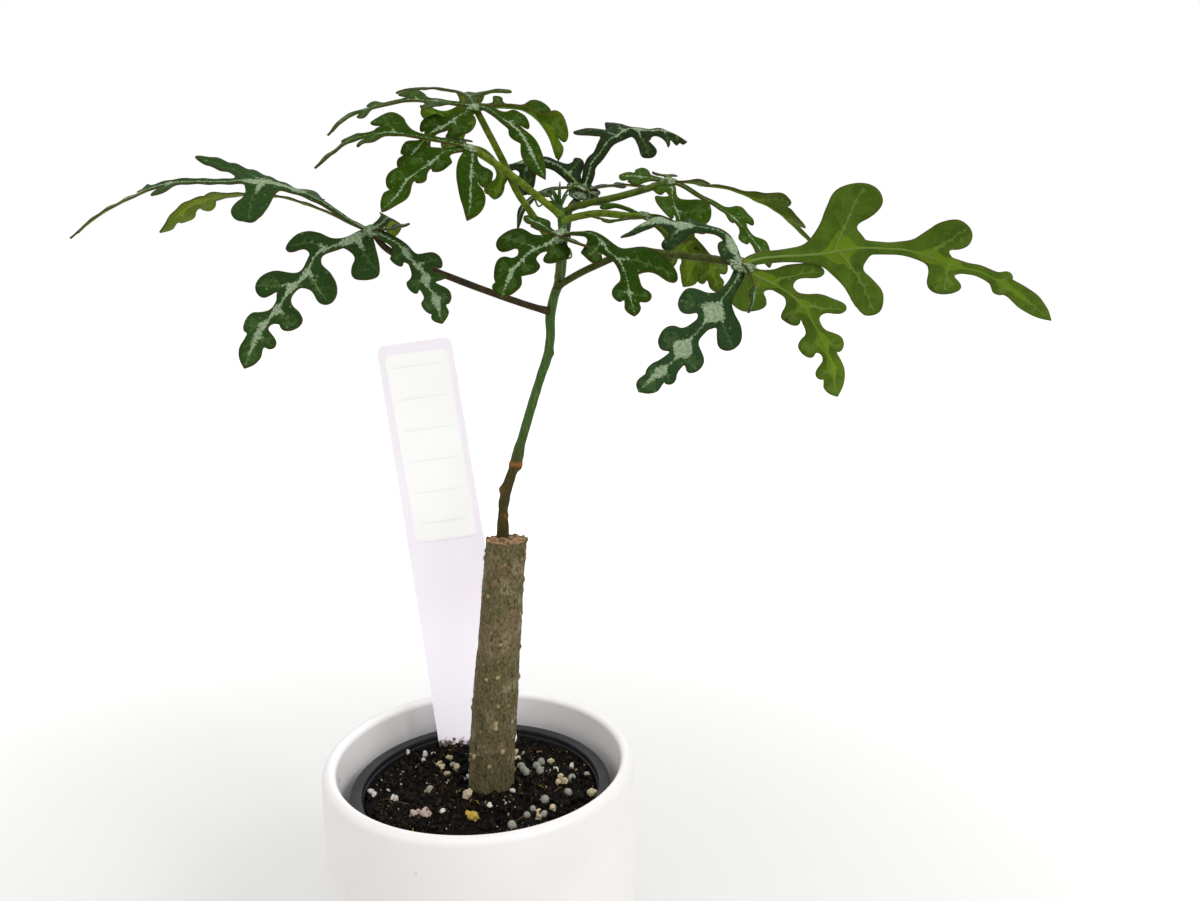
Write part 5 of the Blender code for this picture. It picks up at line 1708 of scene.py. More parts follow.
@dataclass
class PlantLabel:
    """The plastic label that stands in the soil, and the bare sticker on its front."""

    width: float = 31.5
    thickness: float = 0.9
    length: float = 211.0
    corner: float = 3.5
    point: float = 31.0
    flare: float = 3.5
    tilt: float = math.radians(-7.9)
    foot: Point = (0.2, 34.0, 68.0)
    sticker_width: float = 26.0
    sticker_length: float = 80.5
    sticker_top: float = 206.5
    sticker_corner: float = 2.5
    sticker_thickness: float = 0.3
    gap: float = 0.3

    def stand(self, ahead: float) -> Matrix:
        """Gives the turn and place of a flat shape on the label, some way in front of its middle.

        Args:
            ahead: Distance in front of the label's middle.

        Returns:
            The turn and place.
        """
        upright = Matrix.Rotation(math.pi / 2, 4, "X")
        foot = Vector(self.foot) + Vector((0.0, -ahead, 0.0))
        return Matrix.Translation(foot * MM) @ Matrix.Rotation(self.tilt, 4, "Y") @ upright

    def plate(self, name: str, size: Pair, middle: float, corner: float,
              corners_above: float) -> Piece:
        """Adds a flat rectangle and rounds the corners that lie above a height.

        Args:
            name: Name of the piece.
            size: Width and length in millimetres.
            middle: Height of its middle over the label's point.
            corner: Radius of the rounded corners.
            corners_above: Height over which corners are rounded.

        Returns:
            The rectangle, in edit mode.
        """
        deselect()
        bpy.ops.mesh.primitive_plane_add(size=MM)
        plate = named(name)
        bpy.ops.object.mode_set(mode="EDIT")
        bpy.ops.transform.resize(value=(*size, 1.0), center_override=(0.0, 0.0, 0.0))
        bpy.ops.transform.translate(value=(0.0, middle * MM, 0.0))
        select_where(plate, lambda place: place.y > corners_above * MM)
        bpy.ops.mesh.bevel(offset=corner * MM, segments=8, affect="VERTICES")
        return plate

    def thicken(self, plate: Piece, thickness: float, edge: float, ahead: float,
                finish: Finish) -> None:
        """Gives a flat plate its thickness, softened edges, finish and place.

        Args:
            plate: The plate, in edit mode.
            thickness: Its thickness.
            edge: Width of the softened edges.
            ahead: Distance in front of the label's middle.
            finish: Its material.
        """
        bpy.ops.object.mode_set(mode="OBJECT")
        solid = plate.modifiers.new("thickness", "SOLIDIFY")
        solid.thickness = thickness * MM
        solid.offset = 0.0
        bevel = plate.modifiers.new("soft edge", "BEVEL")
        bevel.width = edge * MM
        bevel.segments = 3
        settle(plate)
        plate.data.materials.append(finish)
        Batch.write_map(plate.data, places_of(plate.data) * MM)
        plate.matrix_world = self.stand(ahead)
        settle(plate)
        shade(plate)

    def build(self, plastic: Finish, paper: Finish) -> None:
        """Models the label from its top down to its point, and then its sticker.

        Args:
            plastic: Material of the label.
            paper: Material of the sticker.
        """
        straight = self.length - self.point
        label = self.plate("plastic_label", (self.width, straight), self.point + straight / 2, self.corner,
                           self.length - 1)
        select_where(label, lambda place: place.x < 0 and place.y < (self.point + 1) * MM)
        bpy.ops.transform.translate(value=(-self.flare * MM, 0.0, 0.0))
        select_where(label, lambda place: place.y < (self.point + 1) * MM)
        bpy.ops.mesh.extrude_region_move(
            TRANSFORM_OT_translate={"value": (self.flare / 2 * MM, -self.point * MM, 0.0)})
        bpy.ops.mesh.merge(type="CENTER")
        self.thicken(label, self.thickness, 0.2, 0.0, plastic)
        finish_piece(label, "lilac_plastic", "plant_label")
        middle = self.sticker_top - self.sticker_length / 2
        sticker = self.plate("paper_sticker", (self.sticker_width, self.sticker_length), middle,
                             self.sticker_corner, 0.0)
        ahead = (self.thickness + self.sticker_thickness) / 2 + self.gap
        self.thicken(sticker, self.sticker_thickness, 0.06, ahead, paper)
        finish_piece(sticker, "white_sticker", "label_sticker")


def soften(line: Array, rounds: int = 3) -> Array:
    """Rounds the corners of an open line, and keeps its ends.

    Args:
        line: Points, one in each row.
        rounds: How often corners are cut.

    Returns:
        The rounder line, with more points.
    """
    for _ in range(rounds):
        before = 0.75 * line[:-1] + 0.25 * line[1:]
        after = 0.25 * line[:-1] + 0.75 * line[1:]
        line = np.vstack([line[:1], np.stack([before, after], axis=1).reshape(-1, line.shape[1])[1:-1],
                          line[-1:]])
    return line


def even_steps(line: Array, step: float) -> Array:
    """Lays points at even steps along a line.

    Args:
        line: Points, one in each row.
        step: Distance wanted between two points.

    Returns:
        The new points.
    """
    marks = marks_along(line)
    count = max(1, round(marks[-1] / step))
    return read_line(np.linspace(0.0, marks[-1], count + 1), marks, line)


def inside(points: Array, outline: Array) -> Array:
    """Tells which points lie inside a closed outline.

    Args:
        points: Points, one in each row.
        outline: Points of the closed outline.

    Returns:
        True for each point that lies inside.
    """
    start, end = outline, np.roll(outline, -1, axis=0)
    rises = (start[:, 1] <= points[:, 1, None]) & (end[:, 1] > points[:, 1, None])
    falls = (start[:, 1] > points[:, 1, None]) & (end[:, 1] <= points[:, 1, None])
    side = ((end[:, 0] - start[:, 0]) * (points[:, 1, None] - start[:, 1])
            - (points[:, 0, None] - start[:, 0]) * (end[:, 1] - start[:, 1]))
    turns = (rises & (side > 0)).sum(axis=1) - (falls & (side < 0)).sum(axis=1)
    return turns != 0


def nearest_distance(points: Array, marks: Array) -> Array:
    """Measures each point's distance to the nearest of some marks."""
    return np.sqrt(((points[:, None] - marks) ** 2).sum(axis=2).min(axis=1))


def fill_outline(outline: Array, lines: list[Array],
                 step: float) -> tuple[Array, Faces, list[tuple[int, int]]]:
    """Fills a flat outline with even triangles whose edges follow some lines.

    Args:
        outline: Points of the closed outline.
        lines: Lines inside it that edges have to follow.
        step: Size of the triangles in millimetres.

    Returns:
        The points, the triangles, and the edges of the rim in the order of their triangles.
    """
    low, high = outline.min(axis=0), outline.max(axis=0)
    across = np.arange(low[0], high[0], step)
    up = np.arange(low[1], high[1], step * 0.866)
    grid = np.stack(np.meshgrid(across, up), axis=-1)
    grid[1::2, :, 0] += step / 2
    free = grid.reshape(-1, 2)
    free = free[inside(free, outline)]
    fixed = np.vstack([outline, *lines])
    free = free[nearest_distance(free, fixed) > 0.55 * step]
    count = len(outline)
    edges = [(index, (index + 1) % count) for index in range(count)]
    for line in lines:
        edges += [(count + index, count + index + 1) for index in range(len(line) - 1)]
        count += len(line)
    given = [Vector(point) for point in np.vstack([fixed, free])]
    points, _, faces, _, _, _ = geometry.delaunay_2d_cdt(given, edges, [], 1, 0.01)
    flat = np.array([tuple(point) for point in points])
    triangles = [list(face) for face in faces]
    uses = {}
    for face in triangles:
        for start, end in zip(face, face[1:] + face[:1]):
            uses[(start, end)] = uses.get((start, end), 0) + 1
    rim = [pair for pair in uses if pair[::-1] not in uses]
    return flat, triangles, rim


class Rib:
    """The smooth line that a lobe hangs on, measured along its length."""

    def __init__(self, points: list[Point]) -> None:
        """Draws the smooth line.

        Args:
            points: Places that it goes through, from the hub outwards.
        """
        self.path = catmull(points, 6)
        self.marks = marks_along(self.path)
        self.length = float(self.marks[-1])

    def at(self, distance: Array) -> Array:
        """Gives the rib's places at distances along it."""
        return read_line(distance, self.marks, self.path)

    def along(self, distance: Array) -> Array:
        """Gives the rib's directions at distances along it.

        Args:
            distance: Distances from the hub.

        Returns:
            One direction in each row.
        """
        behind = self.at(np.maximum(np.asarray(distance) - 1.5, 0.0))
        ahead = self.at(np.minimum(np.asarray(distance) + 1.5, self.length))
        return unit(ahead - behind)

    def nearest(self, point: Array) -> float:
        """Gives the distance along the rib of the place that is nearest to a point.

        Args:
            point: A place in space.

        Returns:
            The distance, kept clear of the rib's ends.
        """
        best = int(np.argmin(away_from(point, self.path)))
        distance = self.marks[best]
        for _ in range(3):
            distance += float((point - self.at([distance])[0]) @ self.along([distance])[0])
        return min(max(distance, 1.0), self.length * 0.95)


@dataclass(frozen=True)
class Tooth:
    """One tooth on a lobe's side: root and foot along the rib, reach and half width."""

    root: float
    foot: float
    reach: float
    half: float


@dataclass(frozen=True)
class BladeShape:
    """How all blades are drawn and bent, as in the part's solids."""

    arch: float = 0.010
    ripple: float = 0.35
    ripple_pitch: float = 0.8
    ripple_start: float = 6.0
    spare_reach: float = 6.0
    flank: float = 1.20
    fill: float = 1.2
    notch: float = 0.80
    notch_lean: float = 0.40
    notch_round: float = 1.2
    notch_rise: float = 0.95
    lean: float = 0.35
    broad: float = 4.5
    end_outline: tuple[Pair, ...] = ((0.20, 0.85), (0.45, 1.0), (0.80, 0.62))
    broad_outline: tuple[Pair, ...] = (
        (0.30, -0.95), (0.62, -1.05), (0.90, -0.78), (1.0, -0.10), (0.98, 0.50), (0.82, 0.98),
        (0.60, 0.85), (0.40, 0.46))
    small_outline: tuple[Pair, ...] = (
        (0.50, -1.05), (0.86, -0.75), (1.0, 0.0), (0.84, 0.75), (0.50, 0.55))


SHAPE = BladeShape()


class Side:
    """One side of a blade: which way it spreads from the rib, and its teeth."""

    def __init__(self, rib: Rib, teeth: tuple[tuple[float, ...], ...], spare: Array, sign: float) -> None:
        """Finds where the teeth grow on the rib.

        Args:
            rib: The lobe's rib.
            teeth: The teeth, as in a Lobe.
            spare: Direction of the side where it has no teeth.
            sign: 1 for the left side, -1 for the right.
        """
        self.rib = rib
        self.sign = sign
        found = []
        for x, y, z, half, *lean in teeth:
            tip = np.array([x, y, z], float)
            foot = rib.nearest(tip)
            along = rib.along([foot])[0]
            offset = tip - rib.at([foot])[0]
            offset = offset - along * (offset @ along)
            reach = float(np.linalg.norm(offset))
            slope = lean[0] if lean else SHAPE.lean
            root = min(max(foot - slope * reach, 0.8 * half), rib.length - half)
            found.append((Tooth(root, foot, reach, half), offset / reach))
        self.teeth = sorted((tooth for tooth, _ in found), key=lambda tooth: tooth.root)
        knots = sorted(found, key=lambda item: item[0].foot)
        self.feet = np.array([tooth.foot for tooth, _ in knots] or [0.0])
        self.reaches = np.array([tooth.reach for tooth, _ in knots] or [SHAPE.spare_reach])
        self.ways = np.array([way for _, way in knots] or [spare])

    def spread(self, distance: Array) -> tuple[Array, Array]:
        """Gives the blade's sideways direction and its reach at distances along the rib.

        Args:
            distance: Distances from the hub.

        Returns:
            The directions, one in each row, and the reaches.
        """
        last = len(self.feet) - 1
        index = np.searchsorted(self.feet, distance, side="right")
        low, high = np.clip(index - 1, 0, last), np.clip(index, 0, last)
        gap = self.feet[high] - self.feet[low]
        share = np.where(gap > 0, (distance - self.feet[low]) / np.where(gap > 0, gap, 1.0), 0.0)
        share = smoothstep(share, 0.0, 1.0) * 0.6 + np.clip(share, 0.0, 1.0) * 0.4
        reach = self.reaches[low] + (self.reaches[high] - self.reaches[low]) * share
        way = self.ways[low] + (self.ways[high] - self.ways[low]) * share[:, None]
        along = self.rib.along(distance)
        return unit(way - along * (way * along).sum(axis=1, keepdims=True)), reach

    def ends(self, tooth: Tooth) -> tuple[Array, Array]:
        """Gives the flat places of a tooth's root and tip."""
        return np.array([tooth.root, 0.0]), np.array([tooth.foot, self.sign * tooth.reach])

    def last_notch(self) -> float:
        """Gives the distance at which the lobe's last blade begins."""
        return self.notch_after(self.teeth[-1]) if self.teeth else 0.0

    def notch_after(self, tooth: Tooth) -> float:
        """Gives the distance along the rib of the notch that follows a tooth."""
        notch = tooth.root + SHAPE.notch * tooth.half + SHAPE.notch_lean * (tooth.foot - tooth.root)
        return min(notch, self.rib.length - 3.0)

    def outline(self, end: float, neck: float) -> list[Pair]:
        """Draws this side's edge from the hub to the tip, as (distance along, distance out).

        Args:
            end: Half width of the last blade.
            neck: Half width between teeth.

        Returns:
            The edge's points.
        """
        length = self.rib.length
        edge = [(0.0, neck)]
        last, level = 0.0, neck
        reaches = [tooth.reach for tooth in self.teeth[1:]] + [end]
        for tooth, next_reach in zip(self.teeth, reaches):
            start = tooth.root - SHAPE.flank * tooth.half
            is_apart = start - last > SHAPE.fill * tooth.half
            if last > 0.0:
                edge.append((last + SHAPE.notch_round, neck if is_apart else level))
            if is_apart:
                edge.append((start, neck))
            size = math.hypot(tooth.foot - tooth.root, tooth.reach)
            axis_x, axis_y = (tooth.foot - tooth.root) / size, tooth.reach / size
            for out, wide in SHAPE.broad_outline if tooth.half >= SHAPE.broad else SHAPE.small_outline:
                x = tooth.root + axis_x * size * out + axis_y * tooth.half * wide
                y = axis_y * size * out - axis_x * tooth.half * wide
                if y > level and (wide > 0 or x > last + 0.5):
                    edge.append((min(max(x, 0.0), length - 0.5), y))
            last = self.notch_after(tooth)
            level = max(neck, SHAPE.notch_rise * (last / length) ** 1.3 * min(tooth.reach, next_reach))
            edge.append((last, level))
        rest = length - last
        return edge + [(last + rest * along, end * wide) for along, wide in SHAPE.end_outline]


@dataclass(frozen=True)
class LeafLook:
    """Colours of one leaf, the size of its silver stars, and the silver line's share of a neck."""

    upper: Colour
    under: Colour
    stalk: Colour
    silver: float
    line: float = 0.08
    spot: Point | None = None


@dataclass(frozen=True)
class VeinPlan:
    """Where the side veins leave a midrib or a tooth's own vein."""

    starts: tuple[float, ...] = (0.22, 0.42, 0.60, 0.77)
    open_angle: float = math.radians(52)
    bend: float = math.radians(17)
    length: float = 0.92
    end_steps: tuple[float, ...] = (0.12, 0.27, 0.42, 0.57, 0.72, 0.85)


VEINS = VeinPlan()


class Blade:
    """The sheet of one lobe, from the hub outwards.

    The sheet is as thick as sheet, and rib_extra more along its rib. Groove is the depth of its
    veins on the upper face, vein_rise their height underneath, and side_vein_lag how much less
    the side veins show.
    """

    step = 1.15
    rim_step = 0.8
    sheet = 0.34
    rib_extra = 0.40
    rib_width = 1.8
    groove = 0.22
    bulge = 0.5
    vein_rise = 0.16
    vein_clear = 0.8
    side_vein_lag = 0.16
    silver_fade = 0.9
    # Size and line share of the band of painted light along the underside's veins.
    painted_light_band = (1.1, 0.2)
    spot_size = 2.4
    spot_tone = np.array((0.060, 0.024, 0.010))
    vein_tone = np.array((0.26, 0.31, 0.10))

    def __init__(self, plan: LeafPlan, lobe: Lobe, index: int) -> None:
        """Draws the rib and both sides.

        Args:
            plan: The leaf that the lobe belongs to.
            lobe: The lobe.
            index: Its number in the leaf, which shifts its waves.
        """
        self.rib = Rib([plan.hub, *lobe.rib])
        self.index = index
        level = unit(np.cross((0.0, 0.0, 1.0), self.rib.along([0.0])[0]))
        self.left = Side(self.rib, lobe.left, level, 1.0)
        self.right = Side(self.rib, lobe.right, -level, -1.0)
        self.sides = (self.left, self.right)
        self.end = lobe.end
        self.neck = plan.neck

    def place(self, flat: Array) -> Array:
        """Bends flat places of (along, out) to the sheet in space, left being positive.

        Args:
            flat: Flat places of (distance along the rib, distance out), one in each row.

        Returns:
            The places in space.
        """
        distance, size = flat[:, 0], np.abs(flat[:, 1])
        is_left = flat[:, 1] >= 0
        left_way, left_reach = self.left.spread(distance)
        right_way, right_reach = self.right.spread(distance)
        way = np.where(is_left[:, None], left_way, right_way)
        reach = np.where(is_left, left_reach, right_reach)
        along = self.rib.along(distance)
        up = np.cross(along, way) * np.where(is_left, 1.0, -1.0)[:, None]
        wave = np.sin(SHAPE.ripple_pitch * distance + 1.3 * self.index)
        wave = wave * SHAPE.ripple * np.minimum(size / SHAPE.ripple_start, 1.0)
        lift = SHAPE.arch * size * (reach - size) + wave
        return self.rib.at(distance) + way * size[:, None] + up * lift[:, None]

    def normal(self, flat: Array) -> Array:
        """Gives the direction of the upper face at flat places.

        Args:
            flat: Flat places of (distance along the rib, distance out), one in each row.

        Returns:
            One direction in each row.
        """
        forward = self.place(flat + (0.4, 0.0)) - self.place(flat - (0.4, 0.0))
        outward = self.place(flat + (0.0, 0.4)) - self.place(flat - (0.0, 0.4))
        return unit(np.cross(forward, outward))

    def outline(self) -> Array:
        """Draws the whole smooth outline, from the hub down the right side and back up the left."""
        edges = []
        for side in self.sides:
            points = [(x, side.sign * y) for x, y in side.outline(self.end, self.neck)]
            line = np.array([(0.0, 0.0), *points, (self.rib.length, 0.0)])
            edges.append(even_steps(soften(line), self.rim_step))
        return np.vstack([edges[1][:-1], edges[0][:0:-1]])

    def main_veins(self) -> list[tuple[Array, float]]:
        """Lists the midrib and the vein of each tooth as flat lines, with their radius at the root."""
        veins = [(np.array([(0.0, 0.0), (self.rib.length * 0.97, 0.0)]), 0.50)]
        for side in self.sides:
            for tooth in side.teeth:
                root, tip = side.ends(tooth)
                middle = root + 0.5 * (tip - root) + (0.05 * tooth.reach, 0.0)
                line = soften(np.array([root, middle, root + 0.93 * (tip - root)]), 2)
                veins.append((line, 0.20 + 0.02 * tooth.half))
        return veins

    def side_veins(self) -> list[Array]:
        """Lists the finer veins that fork off the main ones as flat lines."""
        lines = []
        for side in self.sides:
            for tooth in side.teeth:
                root, tip = side.ends(tooth)
                run = tip - root
                heading = math.atan2(run[1], run[0])
                for start in VEINS.starts:
                    size = VEINS.length * tooth.half * (1.15 - 0.55 * start)
                    for way in (1.0, -1.0):
                        lines.append(self.forked(root + run * (start + 0.06 * way), heading, way, size))
            first = side.last_notch()
            for share in VEINS.end_steps:
                spot = np.array([first + (self.rib.length - first) * share, 0.0])
                size = self.end * (1.25 - 0.6 * share)
                lines.append(self.forked(spot, 0.0, side.sign, size))
        return lines

    @staticmethod
    def forked(start: Array, heading: float, way: float, size: float) -> Array:
        """Draws one side vein that leaves at an angle and bends forward.

        Args:
            start: Where it leaves.
            heading: Direction of the vein that it leaves.
            way: 1 for its left side, -1 for its right.
            size: Its length.

        Returns:
            Its three points.
        """
        first = heading + way * VEINS.open_angle
        second = heading + way * (VEINS.open_angle - VEINS.bend)
        middle = start + 0.5 * size * np.array([math.cos(first), math.sin(first)])
        return np.array([start, middle, middle + 0.5 * size * np.array([math.cos(second), math.sin(second)])])

    def clipped(self, line: Array, outline: Array) -> Array | None:
        """Ends a vein before it comes near the blade's edge, or gives none where it has no room.

        Args:
            line: The vein.
            outline: The blade's outline.

        Returns:
            The vein's points at even steps, or None.
        """
        points = even_steps(line, self.step)
        fits = inside(points, outline) & (nearest_distance(points, outline) > self.vein_clear)
        stop = len(points) if fits[1:].all() else 1 + int(np.argmin(fits[1:]))
        return points[:stop] if stop > 2 else None

    def silver(self, flat: Array, amount: float, line: float) -> Array:
        """Tells how deep in the silver each flat place lies, and underneath how deep in the band of painted
        light: above 0 inside, falling outwards.

        Args:
            flat: Flat places of (distance along the rib, distance out), one in each row.
            amount: Size of the stars of silver, and underneath of the band of painted light.
            line: Half width of the silver line, as a share of the neck.

        Returns:
            One depth for each place.
        """
        x, out = flat[:, 0], np.abs(flat[:, 1])
        width = line * self.neck + 0.6 * amount * self.neck * bell(x / 4.0)
        depth = np.full(len(flat), NO_SILVER)
        for side in self.sides:
            for tooth in side.teeth:
                past = (x - tooth.root - 0.25 * tooth.half) / (0.62 * tooth.half)
                width += 0.27 * amount * tooth.half * np.exp(-np.abs(past) ** 3)
                away, share = segment_distance(flat, *side.ends(tooth))
                band = amount * 0.30 * tooth.half * (1 - 2.3 * share)
                depth = np.where(band > 0.2, np.maximum(depth, (band - away) / self.silver_fade), depth)
            rest = self.rib.length - side.last_notch()
            middle = self.rib.length - 0.66 * rest
            width += 0.20 * amount * self.end * bell((x - middle) / (0.30 * rest))
        width *= 1 - smoothstep(x, 0.80 * self.rib.length, 0.97 * self.rib.length)
        depth = np.maximum(depth, (width - out) / self.silver_fade)
        return np.clip(depth, NO_SILVER, 1.0)

    def add_to(self, batch: Batch, look: LeafLook, lightness: float) -> None:
        """Adds the lobe: a closed thin sheet with its relief, and the raised veins underneath.

        Args:
            batch: What it is added to.
            look: Colours of the leaf.
            lightness: Factor for its colours.
        """
        outline = self.outline()
        main = self.main_veins()
        lines = [self.clipped(line, outline) for line in [line for line, _ in main] + self.side_veins()]
        lines = [line for line in lines if line is not None]
        flat, faces, rim = fill_outline(outline, lines, self.step)
        edge_marks = flat[sorted({index for pair in rim for index in pair})]
        edge = nearest_distance(flat, edge_marks)
        vein = np.minimum(nearest_distance(flat, np.vstack(lines[:len(main)])),
                          nearest_distance(flat, np.vstack(lines)) + self.side_vein_lag)
        middle, up = self.place(flat), self.normal(flat)
        relief = self.groove * (smoothstep(vein, 0.0, 2.4) - 0.4) * smoothstep(edge, 0.0, 2.0)
        relief = relief + self.bulge * noise_at(middle, 7.0) * smoothstep(edge, 6.0, 0.0)
        middle = middle + up * relief[:, None]
        half = 0.5 * (self.sheet + self.rib_extra * bell(flat[:, 1] / self.rib_width))
        raised = self.vein_rise * bell(vein / 0.5)
        upper = middle + up * half[:, None]
        lower = middle - up * (half + raised)[:, None]
        count = len(flat)
        walls = [[end, start, start + count, end + count] for start, end in rim]
        under = [[index + count for index in reversed(face)] for face in faces]
        finishes = [Face.UPPER] * len(faces) + [Face.UNDER] * len(faces) + [Face.UPPER] * len(walls)
        tip = smoothstep(flat[:, 0], 0.5 * self.rib.length, self.rib.length)
        glow = lightness * (1 + 0.30 * tip)[:, None]
        tone = np.vstack([np.array(look.upper) * glow, np.array(look.under) * glow])
        if look.spot is not None:
            near = smoothstep(away_from(look.spot, middle), self.spot_size, 0.6 * self.spot_size)
            near = np.tile(near, 2)[:, None]
            tone = tone + (self.spot_tone - tone) * near
        patches = self.silver(flat, look.silver, look.line)
        # On the underside the silver reading holds the depth in the band of painted light along the veins.
        painted_light_depth = self.silver(flat, *self.painted_light_band)
        laid = flat / 100 + (1.7 * self.index, 0.0)
        batch.add(np.vstack([upper, lower]), faces + under + walls, finishes,
                  tone=tone, silver=np.concatenate([patches, painted_light_depth]), edge=np.tile(edge, 2),
                  vein=np.tile(vein, 2), blade=np.tile(laid, (2, 1)))
        for line, radius in main:
            self.add_vein(batch, line, radius, look)

    def add_vein(self, batch: Batch, line: Array, radius: float, look: LeafLook) -> None:
        """Adds one raised vein on the underside, thinning out to its end.

        Args:
            batch: What it is added to.
            line: The vein's flat line.
            radius: Its radius at the root.
            look: Colours of the leaf.
        """
        flat = even_steps(line, 1.6)
        if len(flat) < 4:
            return
        thin = np.linspace(1.0, 0.35, len(flat)) * radius
        path = self.place(flat) - self.normal(flat) * (0.30 - 0.12 * np.linspace(0, 1, len(flat)))[:, None]
        places, faces = tube(path, thin, 8)
        tone = 0.5 * (np.array(look.under) + self.vein_tone)
        batch.add(places, faces, Face.UNDER, tone=tone, silver=NO_SILVER, edge=FAR, vein=0.0,
                  blade=np.zeros((len(places), 2)))


@dataclass
class Leaf:
    """One leaf with its stalk: the blades of its lobes, the web where they meet, and the stalk."""

    name: str
    plan: LeafPlan
    look: LeafLook
    stalk_radius: float = 1.3
    foot_radius: float = 1.55
    web_half: float = 0.95

    def build(self, finishes: list[Finish]) -> None:
        """Models the leaf as one piece.

        Args:
            finishes: Materials of the upper face, the underside and the stalk.
        """
        rng = random.Random(self.name)
        batch = Batch()
        for index, lobe in enumerate(self.plan.lobes):
            Blade(self.plan, lobe, index).add_to(batch, self.look, rng.uniform(0.84, 1.16))
        self.add_web(batch)
        self.add_stalk(batch)
        finish_piece(batch.make("silvered_" + self.name, finishes), "leaf_green", self.name)

    def add_web(self, batch: Batch) -> None:
        """Adds the low lens of blade that closes the hub.

        Args:
            batch: What it is added to.
        """
        hub = np.array(self.plan.hub, float)
        starts = [unit(np.array(lobe.rib[0], float) - hub) for lobe in self.plan.lobes]
        facing = unit(sum(np.cross(a, b) for a, b in zip(starts, starts[1:] + starts[:1])))
        first = unit(np.cross(facing, (0.31, 0.9, 0.2)))
        second = np.cross(facing, first)
        sides, tilts = 28, np.linspace(-0.5, 0.5, 13) * math.pi
        turns = np.arange(sides) * math.tau / sides
        rings = []
        for tilt in tilts[1:-1]:
            out = self.plan.web * math.cos(tilt) * (1 + 0.10 * np.cos(turns * len(starts)))
            level = self.web_half * math.sin(tilt)
            rings.append(hub + np.outer(out * np.cos(turns), first) + np.outer(out * np.sin(turns), second)
                         + level * facing)
        poles = [hub - self.web_half * facing, hub + self.web_half * facing]
        places = np.vstack([*rings, poles])
        below = len(rings) // 2
        above = len(rings) - 1 - below
        finishes = [Face.UNDER] * (below * sides) + [Face.UPPER] * (above * sides)
        finishes += [Face.UNDER, Face.UPPER] * sides
        away = (places - hub) @ np.column_stack([first, second])
        from_middle = np.linalg.norm(away, axis=1) / self.plan.web
        tone = np.where(((places - hub) @ facing > 0)[:, None], self.look.upper, self.look.under)
        # The silver reading gives the hub its silver star above and painted light on the underside.
        batch.add(places, ring_faces(len(rings), sides), finishes, tone=tone,
                  silver=0.55 - 0.5 * from_middle, edge=FAR, vein=3.0, blade=away / 100 + 31.0)

    def add_stalk(self, batch: Batch) -> None:
        """Adds the leaf stalk, with a thicker joint at the stem.

        Args:
            batch: What it is added to.
        """
        path = catmull([*self.plan.stalk, self.plan.hub], 8)
        share = np.linspace(0.0, 1.0, len(path))
        radii = self.stalk_radius * (1 - 0.22 * smoothstep(share, 0.75, 1.0))
        radii += (self.foot_radius - self.stalk_radius) * (1 - smoothstep(share, 0.02, 0.12))
        places, faces = tube(path, radii, 16)
        wobble = 0.25 * noise_at(places, 2.5)
        along = np.append(np.repeat(share, 16), [0.0, 1.0])
        joint = 1 - smoothstep(along, 0.0, 0.08)
        tone = np.array(self.look.stalk) * (1 + 0.35 * joint - 0.1 * along)[:, None]
        batch.add(places + wobble[:, None] * 0.2, faces, Face.STALK, tone=tone, silver=NO_SILVER,
                  edge=FAR, vein=FAR, blade=np.zeros((len(places), 2)))


LEAF_LOOKS = {
    "leaf_left": LeafLook((0.020, 0.049, 0.011), (0.085, 0.125, 0.006), (0.050, 0.034, 0.016), 0.80, 0.20),
    "leaf_top": LeafLook((0.020, 0.048, 0.001), (0.052, 0.098, 0.002), (0.120, 0.170, 0.010), 0.42, 0.02),
    "leaf_second": LeafLook((0.018, 0.045, 0.0005), (0.052, 0.098, 0.002), (0.120, 0.170, 0.010), 0.27, 0.0),
    "leaf_back": LeafLook((0.011, 0.020, 0.007), (0.070, 0.108, 0.006), (0.050, 0.052, 0.022), 0.60, 0.05),
    "leaf_back_right": LeafLook((0.026, 0.060, 0.002), (0.066, 0.108, 0.002), (0.062, 0.095, 0.008),
                                0.28, 0.02),
    "leaf_centre": LeafLook((0.022, 0.058, 0.002), (0.054, 0.090, 0.002), (0.100, 0.150, 0.010), 0.42, 0.02),
    "leaf_front": LeafLook((0.014, 0.037, 0.001), (0.042, 0.086, 0.002), (0.060, 0.090, 0.012), 0.36, 0.02),
    "leaf_right": LeafLook((0.017, 0.040, 0.014), (0.056, 0.102, 0.006), (0.060, 0.070, 0.014), 1.45, 0.06,
                           spot=(115, -14, 286)),
}


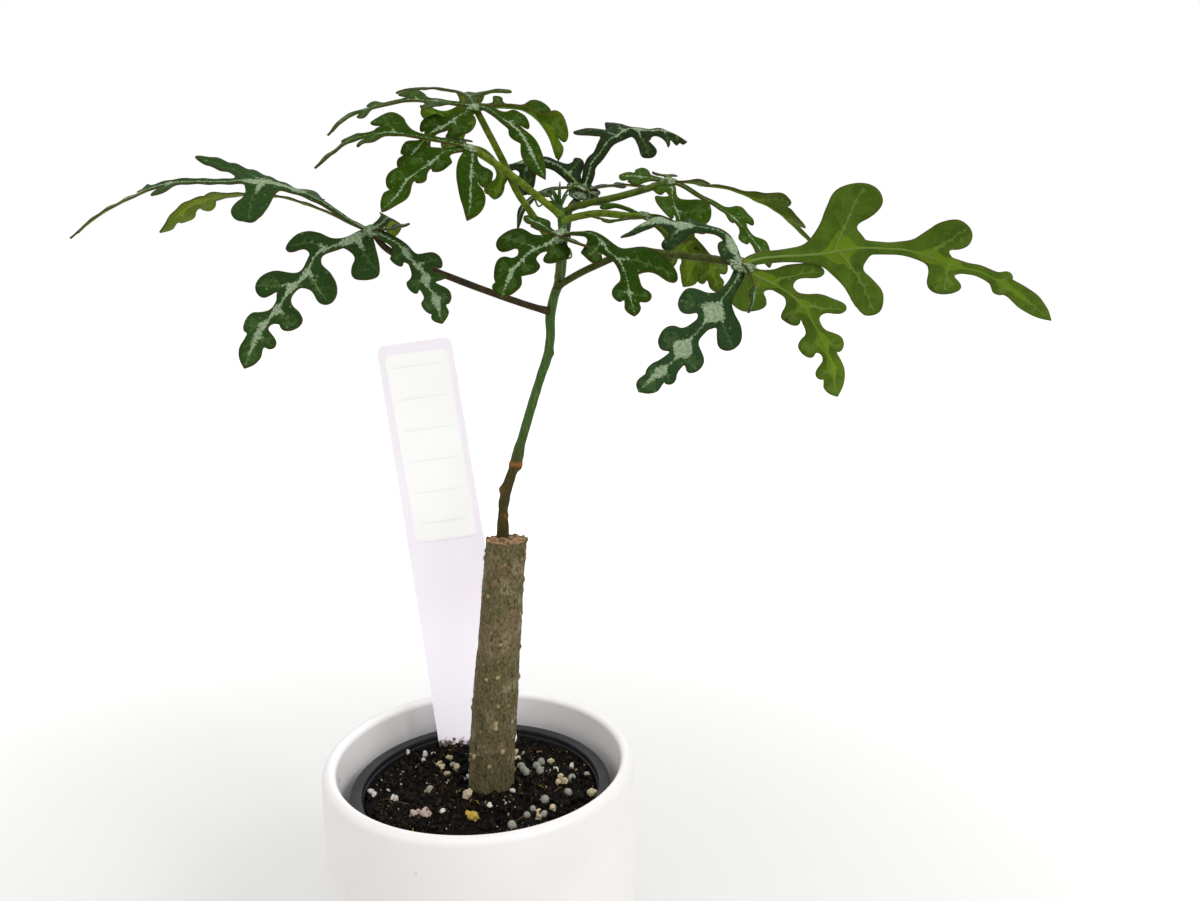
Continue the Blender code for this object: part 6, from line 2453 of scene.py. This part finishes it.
@dataclass
class Studio:
    """The camera, the plain pale floor and the soft light."""

    eye: Point = (48.6, -350.0, 296.0)
    pitch: float = math.radians(80.4)
    lens: float = 27.6
    sensor: float = 36.0
    floor_size: float = 30.0
    sky: Colour = (1.0, 1.0, 1.0)
    ambient: float = 0.85
    lamps: tuple[tuple[str, Point, float, float], ...] = (
        ("key_light", (0.95, -0.70, 1.10), 0.5, 6.6),
        ("fill_light", (-0.75, -0.75, 1.2), 0.9, 0.8),
        ("top_light", (0.05, -0.20, 1.45), 1.0, 5.2),
        ("back_light", (0.2, 1.2, 0.9), 1.2, 2.4),
    )
    aim: Point = (0.02, 0.0, 0.2)

    def build(self) -> None:
        """Sets up all of it."""
        self.add_camera()
        self.add_floor()
        self.add_world()
        for name, place, size, power in self.lamps:
            self.add_lamp(name, Vector(place), size, power)
        bpy.context.scene.view_settings.view_transform = "Standard"

    def add_camera(self) -> None:
        """Puts the camera where the photograph was taken."""
        data = bpy.data.cameras.new("camera")
        data.lens = self.lens
        data.sensor_width = self.sensor
        data.clip_start = 0.01
        camera = placed("camera", data)
        camera.location = Vector(self.eye) * MM
        camera.rotation_euler = (self.pitch, 0.0, 0.0)
        bpy.context.scene.camera = camera

    def add_floor(self) -> None:
        """Lays the floor under the pot."""
        deselect()
        bpy.ops.mesh.primitive_plane_add(size=self.floor_size, location=(0.0, 0.0, -0.0002))
        floor = named("studio_floor")
        floor.data.materials.append(PaleFloor().build())

    def add_world(self) -> None:
        """Makes the even white surroundings: full white where seen, softer as light."""
        world = bpy.data.worlds.new("white_room")
        world.use_nodes = True
        helper = NodeTree(world.node_tree)
        back = world.node_tree.nodes["Background"]
        helper.plug(back.inputs[0], self.sky)
        seen = helper.add("ShaderNodeLightPath").outputs["Is Camera Ray"]
        helper.plug(back.inputs[1], helper.math("MULTIPLY_ADD", seen, 1.0 - self.ambient, self.ambient))
        bpy.context.scene.world = world

    def add_lamp(self, name: str, place: Vector, size: float, power: float) -> None:
        """Adds one large soft light that faces the plant.

        Args:
            name: Name of the light.
            place: Its place in metres.
            size: Width in metres.
            power: Power in watts.
        """
        data = bpy.data.lights.new(name, "AREA")
        data.size = size
        data.energy = power
        lamp = placed(name, data)
        lamp.location = place
        lamp.rotation_euler = (Vector(self.aim) - place).to_track_quat("-Z", "Y").to_euler()


def main() -> None:
    """Builds the studio and the whole plant, piece by piece."""
    logging.basicConfig(level=logging.INFO, format="%(message)s")
    Studio().build()
    effects = Effects()
    Cachepot().build(GlazedCeramic().build(effects))
    pot = NurseryPot()
    pot.build(BlackPlastic().build(effects))
    trunk = Trunk()
    Soil(pot, trunk.foot).build(PottingSoil().build(effects))
    trunk.build(TrunkBark().build(effects))
    Shoot().build(GreenStem().build(effects))
    PlantLabel().build(LabelPlastic().build(effects), StickerPaper().build(effects))
    leaf_finishes = [LeafUpper().build(effects), LeafUnder().build(effects), LeafStalk().build(effects)]
    for name, plan in LEAF_PLANS.items():
        Leaf(name, plan, LEAF_LOOKS[name]).build(leaf_finishes)
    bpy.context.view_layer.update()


if __name__ == "__main__":
    main()
